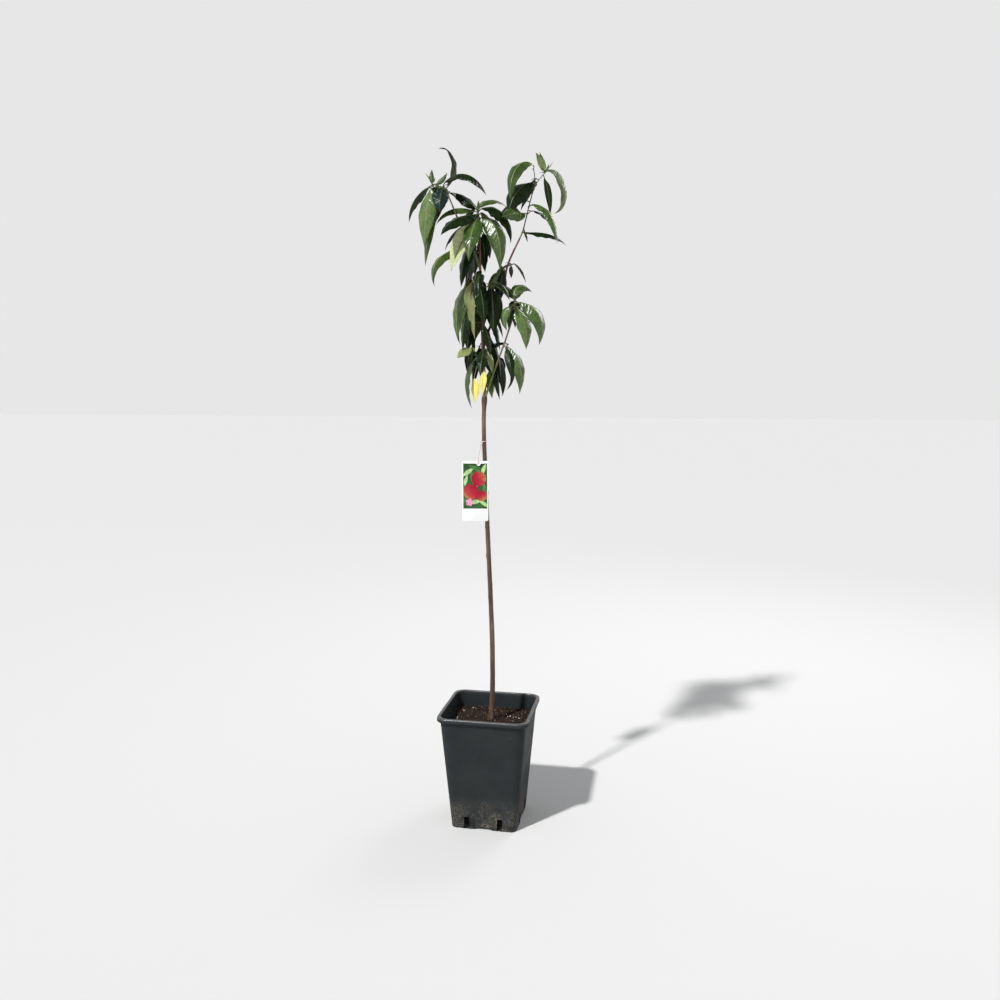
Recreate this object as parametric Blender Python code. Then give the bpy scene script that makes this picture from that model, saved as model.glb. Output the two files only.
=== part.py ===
# Dwarf peach tree in its square nursery pot: a thin grafted stem with a leader, three side
# shoots and long arching leaves, a pot with drain slots, potting mix and a hanging picture label.
#
# The pot's walls lie along X and Y, its front faces -Y, and z = 0 is the ground it stands on.
# The tree is laid out in its own frame, whose -Y is the tree's front, and turned in the pot at
# the end. Routes are in millimetres and angles in degrees: heading 0 is +X, 90 is +Y (the back),
# and an elevation is measured up from level.

import math
import random

import bmesh
import bpy
from mathutils import Matrix, Vector
from mathutils.bvhtree import BVHTree

GAP = 0.0003                 # clear space between solids that touch
TREE_TURN = 10.3             # how far the tree is turned in its pot

POT_WIDTH = 0.220            # across the rim
POT_HEIGHT = 0.280
POT_BASE = 0.159             # across the foot
POT_WALL = 0.0022
POT_CORNER = 0.026           # outer radius of an upright corner, at the rim
RIM_HEIGHT = 0.014
RIM_PROUD = 0.0055           # how far the rim stands out from the wall
FLOOR_TOP = 0.0105
CHANNEL_WIDTH = 0.042        # the arch under each side of the foot
CHANNEL_HEIGHT = 0.0075
PAD_RADIUS = 0.021           # the middle of the underside, which stands on the ground
SLOT_WIDTH = 0.011
SLOT_TOP = 0.027
SLOT_BOTTOM = 0.0035
SLOT_SPACING = 0.040         # from the middle of a wall to each of its two slots
CORNER_STEPS = 5

SOIL_TOP = 0.244

TRUNK_RADIUS = 0.0062
TRUNK_TIP_RADIUS = 0.0048
FLARE_RADIUS = 0.0105        # at the ground, where the stem spreads into its roots
FLARE_HEIGHT = 0.045
KNOB_RADIUS = 0.0068         # the healed knob where the stem was cut back above the graft
LIMB_SIDES = 10
STEM_SIDES = 5
STEM_SPAN_STEPS = 2          # pieces of a stem between two of its given points
STEM_RADIUS = 0.0016
TWIG_RADIUS = 0.0013

LEAF_WIDTH = 0.24            # of its length
LEAF_THICKNESS = 0.012       # of its length
LEAF_FOLD = 26.0             # how far each half of the blade is raised
LEAF_STEPS = 24              # equal steps along a midrib; the first two are the petiole
LEAF_STATIONS = (0, 2, 4, 8, 12, 16, 20, 24)
PETIOLE_STEPS = 2
PETIOLE_RADIUS = 0.0011
CLEARANCE = 0.0010           # kept round a leaf when it is placed
TRIES = 24                   # how often a leaf is turned a little to find a free place
SET_SWING = 1.5              # degrees more for each try: leaves of the outline, and the rest
MORE_SWING = 2.5
GOLDEN_SHARE = 0.618
STEM_TAPER = 0.0005          # what a stem's radius loses towards its tip
TIP_START = 0.004            # straight stretch where a stem goes on from its limb's tip
SIDE_START = 0.003           # and where it leaves a limb's side
TWIG_LENGTH = (0.008, 0.016)
TWIG_RISE = (15, 50)
MORE_RISE = (0, 30)          # the seeded leaves' own ranges
MORE_FALL = (-100, -70)
MORE_BEND = (0.6, 1.0)
MORE_LENGTH = (86, 116)
MORE_ROLL = (-20, 20)

LABEL_SIZE = (0.062, 0.143)  # picture label, width and height
LABEL_THICKNESS = 0.0011
LABEL_CORNER = 0.004
LABEL_TOP = 0.880
LABEL_MIDDLE_X = -0.0335
LABEL_HOLE = (0.008, 0.0065, 0.0030)  # right of the middle, below the top, radius
TIE_RADIUS = 0.0009
TIE_HEIGHT = 0.927           # where the tie goes round the stem
TIE_SPAN_STEPS = 2


def mm(x, y, z):
    return Vector((x, y, z)) / 1000.0


# Each limb's route, from its root to where it ends in the leaves.
TRUNK_ROUTE = (mm(4, 0, 244.3), mm(7, 1, 330), mm(6, 2, 450), mm(2, 3, 560), mm(-4, 2, 700),
               mm(-10, 1, 860), mm(-13, 0, 960), mm(-11, 0, 1034))
LIMBS = {
    "leader": dict(
        route=(mm(-11, 1, 1026), mm(-12, 2, 1069), mm(-15, 4, 1150), mm(-18, 6, 1253),
               mm(-21, 6, 1339), mm(-22, 5, 1423)),
        radii=(0.0043, 0.0026), on=("trunk",)),
    "left_bough": dict(
        route=(mm(-20, 6, 1322), mm(-37, 0, 1365), mm(-57, -8, 1403), mm(-72, -14, 1435),
               mm(-82, -17, 1459)),
        radii=(0.0028, 0.0019), on=("leader",)),
    "right_bough": dict(
        route=(mm(-14, 5, 1142), mm(-3, 8, 1178), mm(16, 14, 1228), mm(33, 19, 1281),
               mm(43, 22, 1334), mm(71, 28, 1396)),
        radii=(0.0031, 0.0020), on=("leader",)),
    "right_shoot": dict(
        route=(mm(-9, -1, 1028), mm(-2, -5, 1050), mm(18, -10, 1106), mm(37, -14, 1158),
               mm(50, -18, 1196), mm(55, -19, 1217)),
        radii=(0.0024, 0.0017), on=("trunk", "leader")),
}


def leaf(at, heading, rise, fall, bend, length, roll=0.0, width=LEAF_WIDTH, on=0):
    """A leaf at the share `at` of its stem, or at the tip of twig number `on`. Its midrib starts
    at the elevation `rise` and ends at `fall`, both in degrees; a bend below 1 turns early and
    one above 1 turns late. Its length is in millimetres."""
    return dict(at=at, heading=heading, rise=rise, fall=fall, bend=bend, length=length / 1000.0,
                roll=roll, width=width, on=on)


# Each mass of leaves: the stem it grows on, the leaves that make its outline, and how many more
# the seeded rule adds, in a fan of headings (its middle and half its spread). A stem on a limb's
# tip goes on from it; any other starts beside its limb, at a height and heading.
MASSES = {
    "foliage_left_top": dict(
        tip_of="left_bough",
        stem=(mm(-91, -18, 1481), mm(-99, -18, 1496), mm(-115, -19, 1503), mm(-128, -20, 1507)),
        leaves=(
            leaf(0.56, 196, 127, -50, 2.0, 128),
            leaf(0.66, -34, 84, -66, 0.5, 132),
            leaf(0.99, 160, 76, 83, 1.0, 32, width=0.34),
            leaf(0.93, -10, 20, 61, 1.0, 40, width=0.3),
            leaf(0.98, 205, -58, -88, 0.4, 148, roll=-25, width=0.27),
            leaf(0.95, 150, -14, -104, 1.4, 108),
            leaf(0.62, -100, -28, -115, 1.4, 76, width=0.34),
            leaf(0.78, 170, -92, -69, 0.6, 146, width=0.2),
        ),
        more=3, fan=(90, 40), seed=11),
    "foliage_centre_top": dict(
        tip_of="leader", stem=(mm(-23, 3, 1439), mm(-25, 2, 1452)),
        leaves=(
            leaf(0.96, 155, 47, -8, 2.2, 96),
            leaf(0.86, 184, 22, -76, 1.4, 114),
            leaf(0.72, 214, -5, -60, 1.5, 134, roll=20),
            leaf(0.60, -104, -30, -94, 1.6, 148),
            leaf(0.30, 222, -38, -73, 0.9, 150, roll=150),
            leaf(0.75, -30, -43, -90, 1.8, 132),
            leaf(0.90, 12, 50, -108, 0.65, 138),
            leaf(0.98, 62, 70, -30, 0.65, 120),
        ),
        more=4, fan=(92, 45), seed=12),
    "foliage_right_top": dict(
        tip_of="right_bough",
        stem=(mm(78, 29, 1412), mm(87, 31, 1448), mm(96, 33, 1484), mm(108, 35, 1518),
              mm(129, 37, 1544)),
        twigs=((0.78, 180, 82, 34),),
        leaves=(
            leaf(1.0, 186, 90, -129, 0.5, 142, on=1),
            leaf(0.78, 205, 47, -81, 0.35, 118, width=0.28),
            leaf(0.98, 12, 6, -162, 0.9, 141),
            leaf(0.99, 200, 72, 52, 1.0, 50, width=0.27),
            leaf(0.96, -20, -82, -82, 1.0, 98, width=0.17),
            leaf(0.44, -25, 20, -96, 0.5, 135),
            leaf(0.08, 24, 2, -49, 2.0, 122),
            leaf(0.36, 232, -7, -20, 1.2, 98),
            leaf(0.14, -20, -58, -86, 0.9, 46),
        ),
        more=4, fan=(90, 40), seed=13),
    "foliage_right_mid": dict(
        tip_of="right_shoot", stem=(mm(57, -21, 1232), mm(59, -23, 1248)),
        leaves=(
            leaf(0.97, 26, 130, -60, 0.8, 78),
            leaf(0.85, -20, 10, -121, 0.85, 140),
            leaf(0.70, -46, -34, -104, 0.9, 116),
            leaf(0.50, -80, -60, -90, 1.0, 70),
            leaf(0.75, 204, -14, -136, 0.95, 76),
        ),
        more=3, fan=(96, 30), seed=14),
    "foliage_right_spur": dict(
        side_of="right_bough", height=1.334, heading=10, stem_length=0.012, stem_rise=30,
        leaves=(
            leaf(0.95, 34, 24, -74, 0.6, 72, width=0.15),
            leaf(0.60, 60, -24, -41, 1.0, 50, width=0.18),
        ),
        more=1, fan=(110, 20), seed=15),
    "foliage_bough_left": dict(
        side_of="right_bough", height=1.322, heading=200, stem_length=0.009, stem_rise=40,
        leaves=(
            leaf(0.95, 192, 12, -102, 0.5, 112),
            leaf(0.60, 250, -50, -90, 0.7, 96),
        ),
        more=1, fan=(130, 10), seed=25),
    "foliage_left_spur": dict(
        side_of="leader", height=1.352, heading=176, stem_length=0.034, stem_rise=28,
        leaves=(
            leaf(0.98, 196, -18, -132, 1.8, 148),
            leaf(0.45, 118, -50, -94, 0.8, 124),
        ),
        more=1, fan=(110, 30), seed=16),
    "foliage_inner_front": dict(
        side_of="leader", height=1.302, heading=243, stem_length=0.027, stem_rise=20,
        leaves=(
            leaf(0.96, 200, -55, -114, 0.35, 150, roll=160),
            leaf(0.70, 306, -52, -92, 0.7, 122),
        ),
        more=2, fan=(300, 30), seed=18),
    "foliage_inner_left": dict(
        side_of="leader", height=1.290, heading=188, stem_length=0.028, stem_rise=20,
        leaves=(
            leaf(0.97, 174, -64, -114, 1.8, 152),
            leaf(0.75, 214, -71, -100, 1.4, 137),
            leaf(0.50, 150, -60, -92, 0.8, 128),
        ),
        more=2, fan=(112, 30), seed=17),
    "foliage_inner_right": dict(
        side_of="leader", height=1.279, heading=-34, stem_length=0.026, stem_rise=22,
        leaves=(
            leaf(0.97, -16, -50, -83, 0.4, 116, width=0.30),
            leaf(0.75, -70, -66, -92, 0.8, 128, width=0.28),
        ),
        more=1, fan=(-40, 20), seed=19),
    "foliage_inner_back": dict(
        side_of="leader", height=1.240, heading=92, stem_length=0.034, stem_rise=25,
        leaves=(
            leaf(0.60, 12, -40, -86, 0.6, 110, width=0.28),
        ),
        more=5, fan=(90, 50), seed=20),
    "foliage_low_right": dict(
        side_of="right_shoot", height=1.147, heading=6, stem_length=0.008, stem_rise=10,
        leaves=(
            leaf(0.96, -24, -14, -108, 0.6, 125),
            leaf(0.70, 30, -46, -148, 1.2, 114),
            leaf(0.50, -70, -30, -96, 0.8, 84),
        ),
        more=1, fan=(90, 20), seed=21),
    "foliage_low_left": dict(
        side_of="leader", height=1.108, heading=186, stem_length=0.044, stem_rise=62,
        leaves=(
            leaf(0.42, 174, -28, -117, 0.55, 121),
            leaf(0.98, 214, 20, -71, 0.4, 60, width=0.34),
            leaf(0.25, 196, -66, -101, 0.9, 100),
        ),
        more=2, fan=(110, 40), seed=22),
    "foliage_low_front": dict(
        side_of="leader", height=1.130, heading=-55, stem_length=0.020, stem_rise=40,
        leaves=(
            leaf(0.97, 246, -73, -95, 0.9, 108, width=0.15),
            leaf(0.80, -50, -50, -92, 0.9, 60, width=0.22),
        ),
        more=1, fan=(-80, 20), seed=23),
    "foliage_low_back": dict(
        side_of="leader", height=1.122, heading=66, stem_length=0.026, stem_rise=30,
        leaves=(
            leaf(0.97, 24, -58, -116, 2.3, 130, width=0.30),
            leaf(0.60, 2, -68, -98, 1.4, 110, width=0.26),
        ),
        more=4, fan=(104, 50), seed=24),
}


def material(name, colour, roughness, metallic=0.0):
    made = bpy.data.materials.new(name)
    made.use_nodes = True
    shader = made.node_tree.nodes["Principled BSDF"]
    shader.inputs["Base Color"].default_value = (*colour, 1.0)
    shader.inputs["Roughness"].default_value = roughness
    shader.inputs["Metallic"].default_value = metallic
    made.diffuse_color = (*colour, 1.0)
    return made


def add_object(name, vertices, faces, finish=None):
    mesh = bpy.data.meshes.new(name)
    mesh.from_pydata([tuple(v) for v in vertices], [], faces)
    work = bmesh.new()
    work.from_mesh(mesh)
    bmesh.ops.recalc_face_normals(work, faces=work.faces)
    work.to_mesh(mesh)
    work.free()
    made = bpy.data.objects.new(name, mesh)
    bpy.context.scene.collection.objects.link(made)
    if finish:
        mesh.materials.append(finish)
    return made


def smooth_route(points, per_span=6):
    """Points along a smooth curve through the given ones."""
    points = [Vector(p) for p in points]
    ends = [2 * points[0] - points[1], *points, 2 * points[-1] - points[-2]]
    out = []
    for i in range(1, len(ends) - 2):
        a, b, c, d = ends[i - 1:i + 3]
        for k in range(per_span):
            t = k / per_span
            out.append(0.5 * (2 * b + (c - a) * t + (2 * a - 5 * b + 4 * c - d) * t * t
                              + (3 * b - a - 3 * c + d) * t ** 3))
    out.append(points[-1])
    return out


def tube(points, radii, sides):
    """Vertices and faces of a closed tube with flat ends."""
    frames = []
    side = None
    for i, point in enumerate(points):
        along = (points[min(i + 1, len(points) - 1)] - points[max(i - 1, 0)]).normalized()
        if side is None:
            side = along.orthogonal().normalized()
        side = (side - along * side.dot(along)).normalized()
        frames.append((point, side, along.cross(side)))
    vertices = []
    for (point, across, up), radius in zip(frames, radii):
        for k in range(sides):
            angle = 2 * math.pi * k / sides
            vertices.append(point + radius * (across * math.cos(angle) + up * math.sin(angle)))
    faces = []
    for i in range(len(points) - 1):
        for k in range(sides):
            a = i * sides + k
            b = i * sides + (k + 1) % sides
            faces.append((a, b, b + sides, a + sides))
    faces.append(tuple(reversed(range(sides))))
    last = (len(points) - 1) * sides
    faces.append(tuple(range(last, last + sides)))
    return vertices, faces


def shares(points):
    """How far along its route each point lies, from 0 to 1."""
    total = [0.0]
    for a, b in zip(points, points[1:]):
        total.append(total[-1] + (b - a).length)
    return [t / total[-1] for t in total]


def point_at(points, share):
    known = shares(points)
    for i in range(1, len(points)):
        if share <= known[i]:
            t = (share - known[i - 1]) / (known[i] - known[i - 1])
            return points[i - 1].lerp(points[i], t)
    return points[-1].copy()


def aim(heading, elevation):
    h = math.radians(heading)
    e = math.radians(elevation)
    return Vector((math.cos(e) * math.cos(h), math.cos(e) * math.sin(h), math.sin(e)))


def blade_half_width(spec, step):
    """Half the blade's width: a blunt base, widest before the middle, a long fine tip."""
    if step <= PETIOLE_STEPS:
        return PETIOLE_RADIUS
    s = (step - PETIOLE_STEPS) / (LEAF_STEPS - PETIOLE_STEPS)
    shape = s ** 0.75 * (1 - s) ** 1.2
    fullest = 0.385 ** 0.75 * 0.615 ** 1.2
    return max(PETIOLE_RADIUS, 0.5 * spec["width"] * spec["length"] * shape / fullest)


def midrib(spec, root):
    """The midrib's points with the directions along, across and up at each."""
    rows = []
    point = root.copy()
    step_length = spec["length"] / LEAF_STEPS
    for step in range(LEAF_STEPS + 1):
        s = step / LEAF_STEPS
        elevation = spec["rise"] + (spec["fall"] - spec["rise"]) * s ** spec["bend"]
        heading = spec["heading"]
        along = aim(heading, elevation)
        level = Vector((-math.sin(math.radians(heading)), math.cos(math.radians(heading)), 0.0))
        turn = Matrix.Rotation(math.radians(spec["roll"]) * min(1.0, 2 * s), 3, along)
        across = turn @ level
        rows.append((point.copy(), along, across, along.cross(across)))
        point += along * step_length
    return rows


def leaf_mesh(spec, root, grow=0.0, first=0):
    """A closed blade on its petiole: four edges along it, the halves raised from the midrib."""
    rows = midrib(spec, root)
    stations = [n for n in LEAF_STATIONS if n >= first]
    vertices = []
    for step in stations[:-1]:
        point, _, across, up = rows[step]
        half = blade_half_width(spec, step) + grow
        blade = step > PETIOLE_STEPS
        fold = math.radians(LEAF_FOLD if blade else 0.0)
        thick = (0.5 * LEAF_THICKNESS * spec["length"] if blade else PETIOLE_RADIUS) + grow
        lift = up * half * math.sin(fold)
        vertices += [point + across * half * math.cos(fold) + lift, point + up * thick,
                     point - across * half * math.cos(fold) + lift, point - up * thick]
    vertices.append(rows[-1][0] + rows[-1][1] * grow)
    faces = [(3, 2, 1, 0)]
    for i in range(len(stations) - 2):
        for k in range(4):
            a = 4 * i + k
            b = 4 * i + (k + 1) % 4
            faces.append((a, b, b + 4, a + 4))
    last = 4 * (len(stations) - 2)
    tip = len(vertices) - 1
    faces += [(last + k, last + (k + 1) % 4, tip) for k in range(4)]
    return vertices, faces


def limb_radii(name, points):
    start, end = LIMBS[name]["radii"]
    return [start + (end - start) * share ** 0.8 for share in shares(points)]


def trunk_radii(points):
    radii = []
    for point, share in zip(points, shares(points)):
        rise = (point.z - SOIL_TOP) / FLARE_HEIGHT
        flare = (FLARE_RADIUS - TRUNK_RADIUS) * math.exp(-3.0 * rise)
        knob = (KNOB_RADIUS - TRUNK_TIP_RADIUS) * math.exp(-((share - 0.985) / 0.016) ** 2)
        radii.append(TRUNK_RADIUS + (TRUNK_TIP_RADIUS - TRUNK_RADIUS) * share + flare + knob)
    radii[-1] = 0.72 * radii[-2]
    return radii


def trunk_points():
    """The stem's route, closer together at the flare and at the knob."""
    route = smooth_route(TRUNK_ROUTE)
    low = [point_at(route, share) for share in (0.0, 0.006, 0.015, 0.03, 0.055)]
    high = [point_at(route, share) for share in (0.955, 0.972, 0.985, 0.995, 1.0)]
    middle = [p for p, share in zip(route, shares(route)) if 0.07 < share < 0.945][::2]
    points = low + middle + high
    points[0] = Vector((points[0].x, points[0].y, SOIL_TOP + GAP))
    points[1] = Vector((points[0].x, points[0].y, points[1].z))
    return points


def stem_points(mass, limbs):
    """The route of a mass's own stem, which starts 0.3 mm clear of the limb that carries it."""
    if "tip_of" in mass:
        points = limbs[mass["tip_of"]]["points"]
        ahead = (points[-1] - points[-2]).normalized()
        start = points[-1] + ahead * GAP
        return [start, *smooth_route((start + ahead * TIP_START, *mass["stem"]),
                                     STEM_SPAN_STEPS)]
    limb = limbs[mass["side_of"]]
    points, radii = limb["points"], limb["radii"]
    i = min(range(len(points)), key=lambda n: abs(points[n].z - mass["height"]))
    out = aim(mass["heading"], 0.0)
    ahead = (points[min(i + 1, len(points) - 1)] - points[i - 1]).normalized()
    out = (out - ahead * out.dot(ahead)).normalized()
    start = points[i] + out * (radii[i] + 2 * GAP)
    rise = out * math.cos(math.radians(mass["stem_rise"])) + Vector((0, 0, 1)) * math.sin(
        math.radians(mass["stem_rise"]))
    end = start + rise * mass["stem_length"]
    return [start, *smooth_route((start + out * SIDE_START, start.lerp(end, 0.6), end),
                                 STEM_SPAN_STEPS)]


class Space:
    """What is already placed, so that a new twig or leaf can be turned clear of it."""

    def __init__(self):
        self.limbs = []
        self.masses = {}

    def tree(self, vertices, faces):
        return BVHTree.FromPolygons(vertices, faces)

    def add_limb(self, points, radii):
        fat = [r + 2 * GAP for r in radii]
        self.limbs.append(self.tree(*tube(points, fat, LIMB_SIDES)))

    def add(self, mass, whole, blade):
        self.masses.setdefault(mass, []).append((self.tree(*whole), self.tree(*blade)))

    def free(self, mass, whole, blade):
        whole = self.tree(*whole)
        blade = self.tree(*blade)
        if any(whole.overlap(other) for other in self.limbs):
            return False
        for name, pieces in self.masses.items():
            for other_whole, other_blade in pieces:
                if name == mass and blade.overlap(other_blade):
                    return False
                if name != mass and whole.overlap(other_whole):
                    return False
        return True


def leaf_fits(space, mass, spec, root):
    whole = leaf_mesh(spec, root, CLEARANCE)
    blade = leaf_mesh(spec, root, CLEARANCE, first=4)
    if not space.free(mass, whole, blade):
        return False
    space.add(mass, whole, blade)
    return True


def place_leaf(space, mass, spec, root, rng, swing):
    """The leaf as given, or turned a little until it is free, or None where no place is."""
    for attempt in range(TRIES):
        turned = dict(spec)
        turned["heading"] += swing * attempt * rng.uniform(-1, 1)
        turned["rise"] += 0.6 * swing * attempt * rng.uniform(-1, 1)
        turned["fall"] += 0.4 * swing * attempt * rng.uniform(-1, 1)
        if leaf_fits(space, mass, turned, root):
            return turned
    return None


def twig_route(stem, share, heading, rise, length):
    start = point_at(stem, share)
    end = start + aim(heading, rise) * length
    return [start, start.lerp(end, 0.5), end]


def seeded_twigs(mass, stem, rng):
    """Short twigs along the stem, fanned out, for the leaves that the seeded rule adds."""
    middle, spread = mass["fan"]
    twigs = []
    for n in range(mass["more"]):
        share = 0.25 + 0.7 * (n + 0.5) / mass["more"]
        heading = middle + spread * (2 * ((n * GOLDEN_SHARE) % 1.0) - 1) + rng.uniform(-8, 8)
        length = rng.uniform(*TWIG_LENGTH)
        twigs.append((heading, twig_route(stem, share, heading, rng.uniform(*TWIG_RISE), length)))
    return twigs


def twig_tube(twig, grow=0.0):
    radii = [TWIG_RADIUS + grow, TWIG_RADIUS * 0.95 + grow, TWIG_RADIUS * 0.85 + grow]
    return tube(twig, radii, STEM_SIDES)


def grow_masses(space, limbs):
    """Every mass's stem, twigs and leaves: the outline leaves of all masses, then the rest."""
    grown = {}
    for name, mass in MASSES.items():
        stem = stem_points(mass, limbs)
        radii = [STEM_RADIUS - STEM_TAPER * share for share in shares(stem)]
        fat = [r + CLEARANCE for r in radii]
        space.add(name, tube(stem, radii, STEM_SIDES), tube(stem, fat, STEM_SIDES))
        twigs = [twig_route(stem, share, heading, rise, length / 1000.0)
                 for share, heading, rise, length in mass.get("twigs", ())]
        for twig in twigs:
            space.add(name, twig_tube(twig), twig_tube(twig, CLEARANCE))
        pieces = [tube(stem, radii, STEM_SIDES)] + [twig_tube(twig) for twig in twigs]
        grown[name] = dict(stem=stem, twigs=twigs, pieces=pieces, leaves=[])
    for name, mass in MASSES.items():
        rng = random.Random(mass["seed"])
        for spec in mass["leaves"]:
            root = point_at(grown[name]["stem"], spec["at"])
            if spec["on"]:
                root = grown[name]["twigs"][spec["on"] - 1][-1]
            placed = place_leaf(space, name, spec, root, rng, SET_SWING)
            if placed:
                grown[name]["leaves"].append((placed, root))
    for name, mass in MASSES.items():
        rng = random.Random(mass["seed"] + 100)
        for heading, twig in seeded_twigs(mass, grown[name]["stem"], rng):
            spec = leaf(1.0, heading, rng.uniform(*MORE_RISE), rng.uniform(*MORE_FALL),
                        rng.uniform(*MORE_BEND), rng.uniform(*MORE_LENGTH),
                        roll=rng.uniform(*MORE_ROLL))
            placed = place_leaf(space, name, spec, twig[-1], rng, MORE_SWING)
            if placed:
                grown[name]["twigs"].append(twig)
                grown[name]["pieces"].append(twig_tube(twig))
                grown[name]["leaves"].append((placed, twig[-1]))
    for mass in grown.values():
        mass["pieces"] += [leaf_mesh(spec, root) for spec, root in mass["leaves"]]
    return grown


def turned(vertices):
    turn = Matrix.Rotation(math.radians(TREE_TURN), 3, "Z")
    return [turn @ Vector(v) for v in vertices]


def applied(target):
    """The object's mesh as its modifiers make it, with the modifiers gone."""
    bpy.context.view_layer.update()
    graph = bpy.context.evaluated_depsgraph_get()
    mesh = bpy.data.meshes.new_from_object(target.evaluated_get(graph))
    target.modifiers.clear()
    target.data = mesh


def keep_largest(target):
    """Drops the loose scraps that a union can leave."""
    work = bmesh.new()
    work.from_mesh(target.data)
    left = set(work.verts)
    islands = []
    while left:
        queue = [left.pop()]
        island = set(queue)
        while queue:
            for edge in queue.pop().link_edges:
                for vertex in edge.verts:
                    if vertex in left:
                        left.discard(vertex)
                        island.add(vertex)
                        queue.append(vertex)
        islands.append(island)
    biggest = max(islands, key=len)
    scraps = [v for v in work.verts if v not in biggest]
    bmesh.ops.delete(work, geom=scraps, context="VERTS")
    work.to_mesh(target.data)
    work.free()


def join_mass(name, pieces, finish):
    """One Boolean union makes a mass of its stem, twigs and leaves."""
    body = add_object(name, turned(pieces[0][0]), pieces[0][1], finish)
    parts = bpy.data.collections.new(name + "_parts")
    bpy.context.scene.collection.children.link(parts)
    for n, (vertices, faces) in enumerate(pieces[1:]):
        piece = add_object(f"{name}_piece_{n}", turned(vertices), faces)
        bpy.context.scene.collection.objects.unlink(piece)
        parts.objects.link(piece)
    union = body.modifiers.new("join", "BOOLEAN")
    union.operation = "UNION"
    union.operand_type = "COLLECTION"
    union.collection = parts
    union.solver = "MANIFOLD"
    applied(body)
    for piece in list(parts.objects):
        bpy.data.objects.remove(piece)
    bpy.data.collections.remove(parts)
    keep_largest(body)
    return body


def round_off(target, angle=35.0):
    target.data.shade_smooth()
    target.data.set_sharp_from_angle(angle=math.radians(angle))


def cutter(made):
    made.hide_render = True
    made.display_type = "WIRE"
    return made


def cut(target, *cutters):
    for n, tool in enumerate(cutters):
        take = target.modifiers.new(f"cut_{n}", "BOOLEAN")
        take.operation = "DIFFERENCE"
        take.object = tool


def build_limbs(bark, shoot_bark):
    """The trunk, and each bough hollowed at its root to sit on the limb that carries it."""
    points = trunk_points()
    radii = trunk_radii(points)
    limbs = {"trunk": dict(points=points, radii=radii)}
    round_off(add_object("trunk", turned(tube(points, radii, LIMB_SIDES)[0]),
                         tube(points, radii, LIMB_SIDES)[1], bark))
    for name, limb in LIMBS.items():
        route = smooth_route(limb["route"], 4)
        radii = limb_radii(name, route)
        limbs[name] = dict(points=route, radii=radii)
        vertices, faces = tube(route, radii, LIMB_SIDES)
        made = add_object(name, turned(vertices), faces, shoot_bark)
        round_off(made)
        cutters = []
        for held in limb["on"]:
            fat = [r + GAP for r in limbs[held]["radii"]]
            vertices, faces = tube(limbs[held]["points"], fat, LIMB_SIDES)
            cutters.append(cutter(add_object(f"{name}_{held}_cutter", turned(vertices), faces)))
        cut(made, *cutters)
        applied(made)
        keep_largest(made)
    return limbs


def outline(half, radius, z):
    """A square with rounded corners."""
    points = []
    for corner in range(4):
        middle = Matrix.Rotation(math.radians(90 * corner), 3, "Z") @ Vector(
            (half - radius, half - radius, 0.0))
        for k in range(CORNER_STEPS + 1):
            angle = math.radians(90 * corner + 90 * k / CORNER_STEPS)
            points.append(middle + radius * Vector((math.cos(angle), math.sin(angle), 0.0))
                          + Vector((0.0, 0.0, z)))
    return points


def wall_half(z):
    """Half the pot's outer width at a height, below the rim."""
    top = 0.5 * POT_WIDTH - RIM_PROUD
    return 0.5 * POT_BASE + (top - 0.5 * POT_BASE) * z / POT_HEIGHT


def corner_radius(z, inset=0.0):
    return (0.55 + 0.45 * z / POT_HEIGHT) * POT_CORNER - inset


def loft(rings):
    """A closed solid through rings of equal count, capped at both ends."""
    count = len(rings[0])
    vertices = [p for ring in rings for p in ring]
    faces = []
    for i in range(len(rings) - 1):
        for k in range(count):
            a = i * count + k
            b = i * count + (k + 1) % count
            faces.append((a, b, b + count, a + count))
    faces.append(tuple(reversed(range(count))))
    last = (len(rings) - 1) * count
    faces.append(tuple(range(last, last + count)))
    return vertices, faces


def pot_profile():
    """Inset from the rim's outer edge and height of each ring, from the foot up and back down."""
    half = 0.5 * POT_WIDTH
    under_rim = POT_HEIGHT - RIM_HEIGHT
    rim_top = POT_HEIGHT
    inner_top = wall_half(POT_HEIGHT) - POT_WALL
    return [
        (wall_half(0.0) - 0.0012, 0.0), (wall_half(0.0012), 0.0012),
        (wall_half(0.06), 0.06), (wall_half(0.16), 0.16),
        (wall_half(under_rim - 0.002), under_rim - 0.002),
        (half - 0.0022, under_rim), (half - 0.0008, under_rim + 0.002),
        (half, rim_top - 0.0045), (half - 0.0010, rim_top - 0.0014), (half - 0.0034, rim_top),
        (inner_top + 0.0012, rim_top - 0.0006), (inner_top, rim_top - 0.0035),
        (wall_half(0.16) - POT_WALL, 0.16), (wall_half(FLOOR_TOP) - POT_WALL, FLOOR_TOP),
    ]


def prism(points_2d, place, depth):
    """A solid from an outline in (across, up), swept from -depth/2 to depth/2 and placed."""
    n = len(points_2d)
    vertices = [place @ Vector((x, y, z)) for y in (-0.5 * depth, 0.5 * depth)
                for x, z in points_2d]
    faces = [tuple(range(n)), tuple(reversed(range(n, 2 * n)))]
    faces += [(k, k + n, (k + 1) % n + n, (k + 1) % n) for k in range(n)]
    return vertices, faces


def channel_outline():
    """The arch under a side of the foot, open at the ground."""
    points = [(-0.5 * CHANNEL_WIDTH, -0.002), (0.5 * CHANNEL_WIDTH, -0.002)]
    for k in range(9):
        angle = math.pi * k / 8
        points.append((0.5 * CHANNEL_WIDTH * math.cos(angle),
                       CHANNEL_HEIGHT * math.sin(angle) ** 0.6))
    return points


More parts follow.
